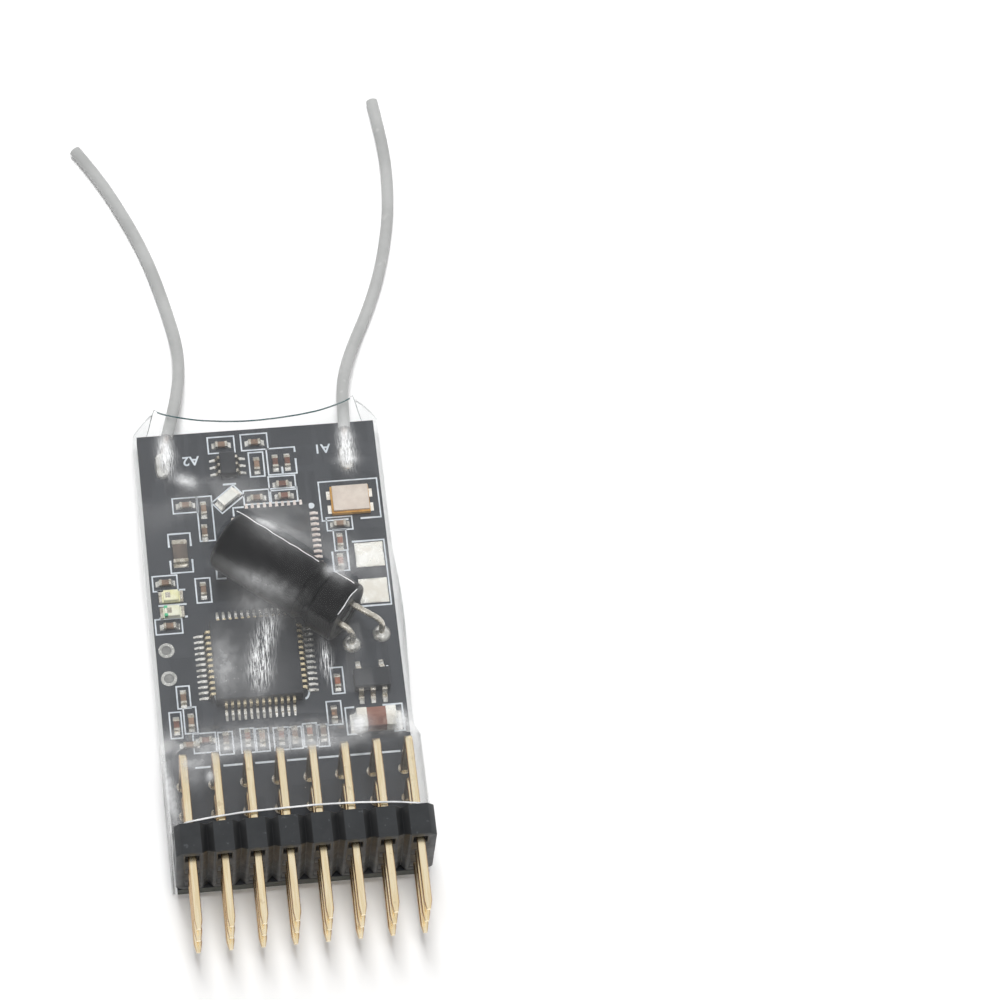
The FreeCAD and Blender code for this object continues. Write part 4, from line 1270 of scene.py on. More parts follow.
@dataclass
class Board:
    """The circuit board with its printed legend and its antenna marks."""

    finishes: Finishes
    node: Object
    ink_width: float = 0.17
    ink_height: float = 0.02
    pin_dot: Pair = (3.95, 32.8)
    frames: tuple[tuple[float, float, float, float], ...] = (
        (-4.06, -1.86, 38.31, 39.81), (-1.30, 0.90, 38.36, 39.86), (-0.79, 0.41, 35.87, 38.12),
        (0.65, 2.85, 34.45, 35.75), (-1.53, 0.58, 33.34, 34.63), (0.71, 2.91, 33.33, 34.63),
        (-7.43, -5.40, 33.01, 34.39), (-5.44, -4.20, 30.30, 34.39), (-9.65, -7.64, 26.06, 27.42),
        (-6.18, -4.98, 24.74, 26.94), (-9.73, -7.57, 22.18, 23.53), (-8.53, -7.49, 15.50, 17.45),
        (-9.29, -8.36, 12.94, 15.22), (-8.13, -7.12, 13.27, 15.56), (4.01, 4.99, 15.71, 18.02),
        (3.38, 4.55, 13.01, 15.06), (5.06, 7.17, 30.37, 31.57), (5.52, 6.56, 28.49, 30.42),
        (-7.55, -5.75, 11.5, 13.2), (-5.55, -4.4, 11.2, 13.15), (-3.75, -2.65, 11.2, 13.3),
        (-2.55, -1.5, 11.2, 13.2), (-1.1, 0.1, 11.2, 13.15), (0.15, 1.15, 11.2, 13.1),
        (1.3, 2.4, 11.3, 13.3), (2.45, 3.3, 11.2, 13.1),
    )
    strokes: tuple[tuple[Pair, ...], ...] = (
        ((3.08, 37.9), (3.08, 38.37), (0.73, 38.37), (0.73, 35.92), (3.08, 35.92), (3.08, 37.3)),
        ((1.9, 35.95), (1.9, 36.6)), ((-7.6, 31.15), (-8.05, 31.15), (-8.05, 29.95)),
        ((-7.6, 31.15), (-6.25, 31.15), (-6.25, 29.95)),
        ((-8.05, 28.75), (-8.05, 27.6), (-6.25, 27.6), (-6.25, 28.75)),
        ((-9.35, 26.05), (-7.05, 26.05)), ((-9.35, 24.75), (-7.05, 24.75)),
        ((-9.35, 23.62), (-7.05, 23.62)),
        ((7.9, 31.3), (9.6, 31.3), (9.6, 34.9), (4.73, 34.9), (4.73, 31.3), (6.9, 31.3)),
        ((5.25, 28.45), (5.25, 26.65), (6.5, 26.65), (6.5, 28.45)),
        ((6.95, 23.29), (9.6, 23.29), (9.6, 29.2), (6.95, 29.2)),
        ((-2.5, 32.35), (-2.5, 33.14), (-1.6, 33.14)), ((-4.35, 27.6), (-4.39, 26.78), (-3.6, 26.78)),
        ((8.65, 17.85), (8.65, 16.3)), ((7.9, 14.39), (9.47, 14.39), (9.47, 12.04), (8.6, 12.04)),
        ((5.6, 14.39), (4.85, 14.39), (4.85, 12.04), (5.6, 12.04)), ((-3.15, 35.35), (-2.05, 35.35)),
    )
    filter_frame: tuple[float, ...] = (-2.86, 33.98, 38.0, 1.22, 0.66)
    corner_arcs: Rows = ((-5.47, 16.5, -4.75, 15.5), (2.13, 16.3, 1.75, 15.5))
    dashes: tuple[float, ...] = (-7.6, -5.35, -2.8, -0.25, 2.3, 4.85, 7.2)
    dash_y: float = 10.25
    dash_length: float = 1.7
    dot_radius: float = 0.27
    letter_size: float = 1.18

    def build(self) -> None:
        """Dress the board and print on it."""
        repaint(self.node, self.finishes["mask"])
        ink = self.finishes["ink"]
        legend = NodeBench.lines("board_legend", self.marks(), self.ink_width, self.ink_height, ink)
        hand_over(legend, Slot.BOARD)
        dot = Shape()
        rim = [(0.0, 0.0), (0.0, self.dot_radius), (self.ink_height, self.dot_radius - 0.01),
               (self.ink_height, 0.0)]
        dot.spin(rim, (*self.pin_dot, 0.0), (0, 0, 1), 24)
        hand_over(dot.finished("radio_corner_dot", [ink]), Slot.BOARD)
        self.letters("mark_second_antenna", "A2", (-5.6, 37.8))
        self.letters("mark_first_antenna", "A1", (5.37, 38.05))

    def marks(self) -> list[list[Point]]:
        """List the legend's lines.

        Returns:
            The lines.
        """
        paths: list[list[Pair]] = []
        for left, right, near, far in self.frames:
            paths.append([(left, near), (right, near), (right, far), (left, far), (left, near)])
        paths += [list(stroke) for stroke in self.strokes]
        x, y, degrees, half_length, half_width = self.filter_frame
        turn = Matrix.Rotation(math.radians(degrees), 2)
        paths.append([tuple(Vector((x, y)) + turn @ Vector((a * half_length, b * half_width)))
                      for a, b in ((-1, -1), (1, -1), (1, 1), (-1, 1), (-1, -1))])
        angles = [math.radians(90 * step / 5) for step in range(6)]
        for x, y, end_x, end_y in self.corner_arcs:
            paths.append([(x + (end_x - x) * (1 - math.cos(angle)), y + (end_y - y) * math.sin(angle))
                          for angle in angles])
        paths += [[(x, self.dash_y), (x + self.dash_length, self.dash_y)] for x in self.dashes]
        return [[(x, y, self.ink_height / 2) for x, y in path] for path in paths]

    def letters(self, name: str, words: str, spot: Pair) -> None:
        """Print letters upside down, to be read from the far end.

        Args:
            name: Name of the piece.
            words: What is printed.
            spot: The middle of the letters.
        """
        curve = bpy.data.curves.new(name, "FONT")
        curve.body = words
        curve.size = self.letter_size
        curve.align_x = "CENTER"
        curve.align_y = "CENTER"
        curve.offset = 0.02
        curve.extrude = self.ink_height / 2
        lettering = linked(name, curve)
        solid = lettering.evaluated_get(bpy.context.evaluated_depsgraph_get())
        flat = bpy.data.meshes.new_from_object(solid)
        bpy.data.objects.remove(lettering)
        place = Matrix.Translation((*spot, self.ink_height / 2)) @ Matrix.Rotation(math.pi, 4, "Z")
        flat.transform(TO_PART @ place)
        flat.materials.clear()
        hand_over(dressed(name, flat, [self.finishes["ink"]]), Slot.BOARD)


class PinRow(Enum):
    """The header's rows, the lowest first."""

    LOWER = 0
    MIDDLE = 1
    UPPER = 2


@dataclass
class Header:
    """The three-row pin header: moulded housing and bent gold pins."""

    finishes: Finishes
    nodes: dict[str, Object]
    pitch: float = 2.54
    columns: int = 8
    offset: float = 0.15
    pin: float = 0.64
    reach: float = 5.8
    taper: float = 0.65
    tip: float = 0.38
    bend: float = 0.35
    setback: float = 1.1
    tail: float = 2.0
    # Half width, in pitches, of the painted shade between the columns.
    notch_shade: float = 0.21
    collar: float = 1.12
    edge: float = 0.13
    collar_depth: float = 0.31
    collar_y: float = 0.175

    def build(self) -> None:
        """Build the housing and the rows of pins, and dress the joints."""
        housing = softened(self.nodes["header_housing"], "header_moulding", 0.07, self.finishes["header"])
        # Painted shade: faces in the grooves between the columns take a darker finish.
        housing.data.materials.append(self.finishes["notch_shade"])
        for face in housing.data.polygons:
            across = (face.center.x / MM - self.offset) / self.pitch
            between = abs(across - round(across)) < self.notch_shade and abs(across) < self.columns / 2 - 0.5
            if between and abs(face.normal.y) < 0.95:
                face.material_index = 1
        hand_over(housing, Slot.HEADER, "header_housing")
        collars = Shape()
        for row in (PinRow.LOWER, PinRow.MIDDLE):
            for x in self.column_places():
                level = (row.value + 0.5) * self.pitch
                size = (self.collar, self.collar_depth, self.collar)
                collars.box((x, self.collar_y, level - self.collar / 2), size, round_by=0.04)
        hand_over(collars.finished("pin_collars", [self.finishes["header"]]), Slot.HEADER)
        for row in PinRow:
            self.pins(row)
        repaint(self.nodes["header_solder"], self.finishes["lead"])

    def column_places(self) -> list[float]:
        """Give the x of each column of pins."""
        middle = (self.columns - 1) / 2
        return [self.offset + (column - middle) * self.pitch for column in range(self.columns)]

    def pins(self, row: PinRow) -> None:
        """Build one row of pins.

        Args:
            row: Which row.
        """
        level = (row.value + 0.5) * self.pitch
        leg = self.pitch + self.setback + row.value * self.pitch
        radius = self.bend + self.pin / 2
        tip, shaft = -self.reach, -self.reach + self.taper
        path: list[Point] = [(0, y, 0) for y in (tip, tip + 0.1, shaft, shaft + 0.1, 0)]
        scales = [self.tip / self.pin * 0.8, self.tip / self.pin, 0.97, 1.0, 1.0]
        for step in range(7):
            angle = math.radians(90 * step / 6)
            path.append((0, leg - radius + radius * math.sin(angle), -radius + radius * math.cos(angle)))
            scales.append(1.0)
        path.append((0, leg, -level - self.tail))
        scales.append(1.0)
        shape = Shape()
        shape.sweep(path, rounded_square(self.pin, self.edge, 3), scales)
        name = row.name.lower()
        spots = [((x, 0.0, level), 0.0) for x in self.column_places()]
        piece = NodeBench.repeat(f"{name}_pins", shape, spots, self.finishes["gold"])
        hand_over(piece, Slot.PIN, *[f"{name}_pin_{number}" for number in range(1, self.columns + 1)])


class Chip(Enum):
    """The kinds of small chip part, by the finish of their bodies."""

    RESISTOR = "dark_glaze"
    CERAMIC = "tan_ceramic"


@dataclass
class Packages:
    """The packaged chips with their leads, fillets and pads."""

    finishes: Finishes
    nodes: dict[str, Object]
    mcu: Pair = (-1.93, 18.92)
    mcu_half: float = 3.5
    mcu_reach: float = 1.0
    radio: Pair = (0.85, 29.83)
    radio_half: float = 3.0
    radio_shrink: tuple[float, ...] = (0.95, 0.95, 0.7, 1.0)
    regulator: Pair = (7.23, 16.5)
    switch: Pair = (-2.6, 36.93)
    lead_pitch: float = 0.5
    pad_reach: float = 0.24
    regulator_lead: Pair = (1.55, 0.95)
    switch_lead: Pair = (1.15, 0.65)
    wedge: tuple[Point, ...] = (
        (-0.42, 0.06, 0.5), (-0.02, 0.15, 0.5), (0.06, 0.16, 0.48), (0.18, 0.07, 0.46), (0.34, 0.035, 0.42),
    )

    def build(self) -> None:
        """Round the bodies, dress the leads and add solder at their feet."""
        for node, name, paint, width in (
            ("mcu_body", "processor_body", "chip", 0.05),
            ("radio_body", "radio_chip_body", "radio", 0.04),
            ("switch_body", "antenna_switch_body", "chip", 0.04),
            ("regulator_body", "regulator_moulding", "chip", 0.05),
        ):
            body = softened(self.nodes[node], name, width, self.finishes[paint])
            if node == "radio_body":
                foot = Matrix.Translation(TO_PART @ Vector((*self.radio, 0.0)))
                body.data.transform(foot @ Matrix.Diagonal(self.radio_shrink) @ foot.inverted())
            hand_over(body, Slot.CHIP, node)
        for paint, names in (
            ("foot", ("mcu_leads",)), ("lead", ("switch_leads", "regulator_leads")),
            ("pink_pad", ("radio_pads",)), ("heaped", ("crystal_pads",)),
            ("tin", ("capacitor_solder", "antenna_solder_left", "antenna_solder_right")),
        ):
            for node in names:
                repaint(self.nodes[node], self.finishes[paint])
        self.fillets("processor_fillets", self.mcu_feet(), 0.24)
        self.fillets("regulator_fillets", self.regulator_feet(), 0.46)
        self.fillets("antenna_switch_fillets", self.switch_feet(), 0.28)
        out = self.radio_half + self.pad_reach
        radio = [self.foot(self.radio, turn, out, (pad - 4.5) * self.lead_pitch)
                 for turn in (0, 90, 180, 270) for pad in range(10)]
        self.fillets("radio_fillets", radio, 0.28, "pink_pad")

    def mcu_feet(self) -> list[tuple[Point, float]]:
        """Give the place and turn of each processor foot."""
        return [self.foot(self.mcu, turn, self.mcu_half + self.mcu_reach, (lead - 5.5) * self.lead_pitch)
                for turn in (0, 90, 180, 270) for lead in range(12)]

    def regulator_feet(self) -> list[tuple[Point, float]]:
        """Give the place and turn of each regulator foot."""
        out, pitch = self.regulator_lead
        return [self.foot(self.regulator, turn, out, step * pitch)
                for turn, step in ((-90, -1), (-90, 0), (-90, 1), (90, -1), (90, 1))]

    def switch_feet(self) -> list[tuple[Point, float]]:
        """Give the place and turn of each antenna switch foot."""
        out, pitch = self.switch_lead
        return [self.foot(self.switch, turn, out, step * pitch) for turn in (0, 180) for step in (-1, 0, 1)]

    @staticmethod
    def foot(middle: Pair, turn: float, out: float, along: float) -> tuple[Point, float]:
        """Give a foot's tip.

        Args:
            middle: Middle of the package.
            turn: Side that the lead leaves, in degrees.
            out: Distance from the middle to the tip.
            along: Distance along the side.

        Returns:
            Its place and turn.
        """
        angle = math.radians(turn)
        x = middle[0] + out * math.cos(angle) - along * math.sin(angle)
        y = middle[1] + out * math.sin(angle) + along * math.cos(angle)
        return (x, y, 0.0), turn

    def fillets(self, name: str, feet: Sequence[tuple[Point, float]], width: float,
                paint: str = "tin") -> None:
        """Add a wedge of solder in front of each foot, on its pad.

        Args:
            name: Name of the piece.
            feet: Places and turns of the feet.
            width: Width of each wedge.
            paint: Its finish.
        """
        shape = Shape()
        rings = []
        for along, height, side in self.wedge:
            half = width * side
            rings.append([(along, -half, 0.0), (along, half, 0.0), (along, half * 0.8, height),
                          (along, -half * 0.8, height)])
        shape.loft(rings)
        hand_over(NodeBench.repeat(name, shape, feet, self.finishes[paint]), Slot.SOLDER)


@dataclass
class ChipParts:
    """Small chip parts: ceramic bodies, tinned ends and soldered pads."""

    finishes: Finishes
    resistors: tuple[Point, ...] = (
        (1.36, 36.98, 90), (2.36, 36.98, 90), (1.75, 34.93, 0), (1.81, 33.83, 0), (5.98, 29.28, 90),
        (5.83, 27.43, 90), (4.48, 16.7, 90), (-8.78, 14.0, 90), (-6.58, 12.5, 0), (-3.2, 12.5, 90),
        (-0.5, 12.4, 90), (1.8, 12.5, 90),
    )
    ceramics: tuple[Point, ...] = (
        (-2.96, 38.98, 0), (-0.2, 38.98, 0), (-0.19, 36.88, 90), (-0.48, 33.83, 0), (-6.38, 33.63, 0),
        (-4.93, 33.13, 90), (-5.03, 31.03, 90), (-8.63, 26.7, 0), (-8.58, 22.8, 0), (-5.58, 25.8, 90),
        (-8.03, 16.3, 90), (-7.58, 14.2, 90), (6.13, 30.88, 0), (3.93, 13.9, 90), (-7.88, 12.2, 0),
        (-4.95, 12.4, 90), (-2.05, 12.4, 90), (0.6, 12.4, 90), (2.9, 12.4, 90),
    )
    body: Point = (0.94, 0.44, 0.34)
    end: Point = (0.22, 0.5, 0.4)
    end_x: float = 0.39
    inset: float = 0.06
    wedge: Rows = ((-0.25, 0.55), (0.0, 0.55), (0.3, 0.28), (0.65, 0.13), (1.0, 0.06))

    def build(self) -> None:
        """Build every chip part."""
        self.field("small_resistor", self.resistors, Chip.RESISTOR, Slot.RESISTOR, "chip_resistors")
        self.field("small_ceramic", self.ceramics, Chip.CERAMIC, Slot.CERAMIC, "chip_capacitors")
        for row in (
            ("sense_resistor", (-7.19, 29.33), 90, (2.0, 1.25, 0.5), 0.35, "grey_glaze", Slot.RESISTOR,
             "large_resistor"),
            ("bulk_ceramic", (7.23, 12.95), 0, (3.2, 1.7, 1.3), 0.85, "brown_ceramic", Slot.CERAMIC,
             "large_ceramic"),
            ("antenna_filter_chip", (-2.83, 33.98), 38, (1.7, 0.9, 0.6), 0.22, "white_ceramic", Slot.FILTER,
             "antenna_filter"),
        ):
            self.single(*row)

    def field(self, name: str, places: Sequence[Point], kind: Chip, slot: Slot,
              node: str) -> None:
        """Build all small parts of one kind.

        Args:
            name: Start of the pieces' names.
            places: x, y and turn of each part.
            kind: Kind of part.
            slot: The bodies' material slot.
            node: The frame's node that they stand for.
        """
        spots = [((x, y, 0.0), turn) for x, y, turn in places]
        body = Shape()
        body.box((0.0, 0.0, 0.03), self.body, round_by=0.03)
        hand_over(NodeBench.repeat(name + "_bodies", body, spots, self.finishes[kind.value]), slot, node)
        ends = Shape()
        joints = Shape()
        for side in (-1, 1):
            ends.box((side * self.end_x, 0.0, 0.0), self.end, round_by=0.04)
            self.joint(joints, side, 0.5, 0.54, self.end[2], 0.3)
        hand_over(NodeBench.repeat(name + "_ends", ends, spots, self.finishes["lead"]), Slot.LEAD)
        hand_over(NodeBench.repeat(name + "_joints", joints, spots, self.finishes["tin"]), Slot.SOLDER)

    def joint(self, shape: Shape, side: int, out: float, width: float, height: float, run: float) -> None:
        """Add the hollow wedge of solder at one end of a chip part.

        Args:
            shape: What it is added to.
            side: 1 or -1, the end.
            out: Distance from the middle to the end's face.
            width: The part's width.
            height: The part's height.
            run: How far the solder runs out.
        """
        rings = []
        for share, rise in self.wedge:
            half = width / 2 * (1.04 - 0.1 * max(share, 0.0))
            x = side * (out + run * share)
            rings.append([(x, -half, 0.0), (x, half, 0.0), (x, half * 0.82, height * rise),
                          (x, -half * 0.82, height * rise)])
        shape.loft(rings)

    def single(self, name: str, spot: Pair, turn: float, size: Point, plated: float,
               paint: str, slot: Slot, node: str) -> None:
        """Build one larger chip part.

        Args:
            name: Name of the piece.
            spot: Its middle.
            turn: Its turn in degrees.
            size: Length, width and height.
            plated: Length of its tinned ends.
            paint: Finish of its body.
            slot: The body's material slot.
            node: The frame's node that it stands for.
        """
        length, width, height = size
        shape = Shape()
        shape.box((0, 0, self.inset / 2), [part - self.inset for part in size], round_by=0.05)
        for side in (-1, 1):
            shape.box((side * (length - plated) / 2, 0, 0), (plated, width, height), round_by=0.07, paint=1)
            self.joint(shape, side, length / 2, width, height, 0.15 + 0.25 * height)
        for face in shape.mesh.faces:
            if face.material_index == 0 and abs(face.calc_center_median().x) > length / 2 - self.inset:
                face.material_index = 1
        shape.mesh.transform(Matrix.Translation((*spot, 0.0)) @ Matrix.Rotation(math.radians(turn), 4, "Z"))
        ends = self.finishes["heaped" if height > 0.55 else "lead"]
        hand_over(shape.finished(name, [self.finishes[paint], ends]), slot, node)


@dataclass
class Crystal:
    """The crystal in its ceramic tray, under a metal lid."""

    finishes: Finishes
    nodes: dict[str, Object]
    lid_place: Point = (7.22, 32.97, 0.45)
    lid_size: Point = (3.0, 2.3, 0.3)

    def build(self) -> None:
        """Round the tray and the lid."""
        tray = softened(self.nodes["crystal_tray"], "crystal_base", 0.05, self.finishes["tray"])
        hand_over(tray, Slot.TRAY, "crystal_tray")
        lid = Shape()
        lid.box(self.lid_place, self.lid_size, round_by=0.07)
        hand_over(lid.finished("crystal_cover", [self.finishes["lid"]]), Slot.LID, "crystal_lid")


@dataclass
class Lamps:
    """The two indicator lamps: pale mouldings between tinned ends."""

    finishes: Finishes
    x: float = -8.28
    yellow_y: float = 25.4
    green_y: float = 24.0
    blocks: Rows = (
        (0.0, 0.0, 0.0, 1.9, 0.94, 0.25, 0.03, 0), (0.0, 0.0, 0.22, 1.26, 0.94, 0.42, 0.09, 0),
        (-0.86, 0.0, 0.0, 0.28, 1.0, 0.27, 0.04, 1), (0.86, 0.0, 0.0, 0.28, 1.0, 0.27, 0.04, 1),
        (-0.25, 0.0, 0.60, 0.42, 0.5, 0.045, 0.015, 1),
    )
    marks: Rows = (
        (-0.5, -0.34, 0.24, 0.3, 0.26, 0.405, 0.04, 2), (-0.5, 0.34, 0.24, 0.3, 0.26, 0.405, 0.04, 2),
    )

    def build(self) -> None:
        """Build both lamps."""
        self.lamp("yellow_indicator", self.yellow_y, "yellow_glow", Slot.YELLOW_LAMP, "yellow_lamp", False)
        self.lamp("green_indicator", self.green_y, "green_glow", Slot.GREEN_LAMP, "green_lamp", True)

    def lamp(self, name: str, y: float, paint: str, slot: Slot, node: str, marked: bool) -> None:
        """Build one lamp.

        Args:
            name: Name of the piece.
            y: Its place along the board.
            paint: Finish of its moulding.
            slot: Its material slot.
            node: The frame's node that it stands for.
            marked: Whether it has green marks at one end.
        """
        shape = Shape()
        for across, along, low, *size, round_by, coat in self.blocks + (self.marks if marked else ()):
            shape.box((self.x + across, y + along, low), size, round_by=round_by, paint=coat)
        paints = [self.finishes[paint], self.finishes["lead"], self.finishes["green_mark"]]
        hand_over(shape.finished(name, paints), slot, node)


@dataclass
class Reservoir:
    """The capacitor that lies across the chips, in its shrunk black jacket."""

    finishes: Finishes
    nodes: dict[str, Object]
    lead_end: Point = (5.47, 21.08, 3.70)
    turn: float = -39.7
    radius: float = 2.5
    jacket: float = 0.1
    length: float = 11.7
    bead: float = 2.9
    bead_width: float = 1.4
    bead_depth: float = 0.45
    round_by: float = 0.7
    rim_round: float = 0.22
    rim_width: float = 0.5
    play: float = 0.01
    bead_run: float = 0.35

    @property
    def heading(self) -> Point:
        """Give the direction from the lead end to the closed end."""
        angle = math.radians(self.turn)
        return (-math.cos(angle), -math.sin(angle), 0.0)

    def build(self) -> None:
        """Build the jacket, and dress the can, the bung and the leads."""
        outer = self.radius + self.jacket
        lip = self.radius - self.round_by - self.rim_width
        rim = []
        for step in range(5):
            angle = math.radians(90 * step / 4)
            rim.append((-self.jacket + self.rim_round * (1 - math.sin(angle)),
                        outer - self.rim_round * (1 - math.cos(angle))))
        profile = [(-self.jacket + 0.03, lip), (-self.jacket, lip + 0.05)] + rim[::-1]
        near, far = self.bead - self.bead_width / 2, self.bead + self.bead_width / 2
        for step in range(11):
            share = step / 10
            dip = self.bead_depth * math.sin(math.pi * share) ** 0.7
            profile.append((near + (far - near) * share, outer - dip))
        for step in range(1, 8):
            angle = math.radians(90 * step / 7)
            profile.append((self.length + self.jacket - self.round_by * (1 - math.sin(angle)),
                            outer - self.round_by * (1 - math.cos(angle))))
        profile += [(self.length + self.jacket + 0.02, lip + 0.1), (self.length + self.jacket - 0.02, lip),
                    (self.length + 0.005, lip)]
        bore = self.radius + self.play
        inner = [(self.length + 0.005, self.radius - self.round_by),
                 (self.length - self.round_by, bore), (far, bore),
                 (far - self.bead_run, bore - self.bead_depth),
                 (near + self.bead_run, bore - self.bead_depth),
                 (near, bore), (-self.play, bore), (-self.play, lip)]
        shape = Shape()
        shape.spin(profile + inner + profile[:1], self.lead_end, self.heading, 72)
        bmesh.ops.remove_doubles(shape.mesh, verts=shape.mesh.verts, dist=1e-5)
        hand_over(shape.finished("reservoir_jacket", [self.finishes["jacket"]], 40.0), Slot.JACKET,
                  "capacitor_jacket")
        for node, paint in (("capacitor_can", "can"), ("capacitor_bung", "rubber"),
                            ("capacitor_long_lead", "lead"), ("capacitor_short_lead", "lead"),
                            ("antenna_core_left", "core"), ("antenna_core_right", "core")):
            repaint(self.nodes[node], self.finishes[paint])
            self.nodes[node].data.shade_smooth()
            self.nodes[node].data.set_sharp_from_angle(angle=math.radians(35))


@dataclass
class Pads:
    """Pads heaped with solder for the bind bridge, and plated rings."""

    finishes: Finishes
    nodes: dict[str, Object]
    x: float = 8.28
    y: float = 26.28
    spacing: float = 3.3
    size: Point = (2.35, 2.2, 0.3)
    ring_x: float = -9.03
    ring_places: Pair = (18.2, 20.7)
    ring_radius: float = 0.38

    def build(self) -> None:
        """Heap the solder and dress the rings."""
        shape = Shape()
        for side in (-1, 1):
            self.heap(shape, self.x, self.y + side * self.spacing / 2, side)
        solder = shape.finished("bridge_pad_solder", [self.finishes["heaped"]], 60.0)
        hand_over(solder, Slot.SOLDER, "bridge_pads")
        centres = Shape()
        disc = [(0.0, 0.0), (0.0, self.ring_radius), (0.03, self.ring_radius), (0.04, 0.0)]
        for y in self.ring_places:
            centres.spin(disc, (self.ring_x, y, -0.01), (0, 0, 1), 24)
        hand_over(centres.finished("ring_centres", [self.finishes["dull_pad"]]), Slot.BOARD)
        repaint(self.nodes["ring_pads"], self.finishes["pad_tin"])

    def heap(self, shape: Shape, x: float, y: float, seed: int) -> None:
        """Add one uneven heap of solder.

        Args:
            shape: What it is added to.
            x: Its middle.
            y: Its middle.
            seed: Which pattern of dents it has.
        """
        count = 16
        length, width, height = self.size
        rows = []
        for j in range(count + 1):
            row = []
            for i in range(count + 1):
                a, b = 2 * i / count - 1, 2 * j / count - 1
                dome = (1 - abs(a) ** 6) * (1 - abs(b) ** 6)
                dent = noise.noise(Vector((a * 1.7 + seed * 5, b * 1.7, 0.3)))
                z = height * (0.14 + 0.7 * dome * (0.75 + 0.45 * dent))
                row.append(shape.mesh.verts.new((x + a * length / 2, y + b * width / 2, min(z, height))))
            rows.append(row)
        stitched(shape.mesh, rows, False)
        rim = rows[0] + [row[-1] for row in rows[1:]] + rows[-1][-2::-1] + [row[0] for row in rows[-2:0:-1]]
        base = [shape.mesh.verts.new((vert.co.x, vert.co.y, 0.0)) for vert in rim]
        for index, vert in enumerate(rim):
            after = (index + 1) % len(rim)
            shape.mesh.faces.new((base[index], base[after], rim[after], vert))
        shape.mesh.faces.new(base[::-1])


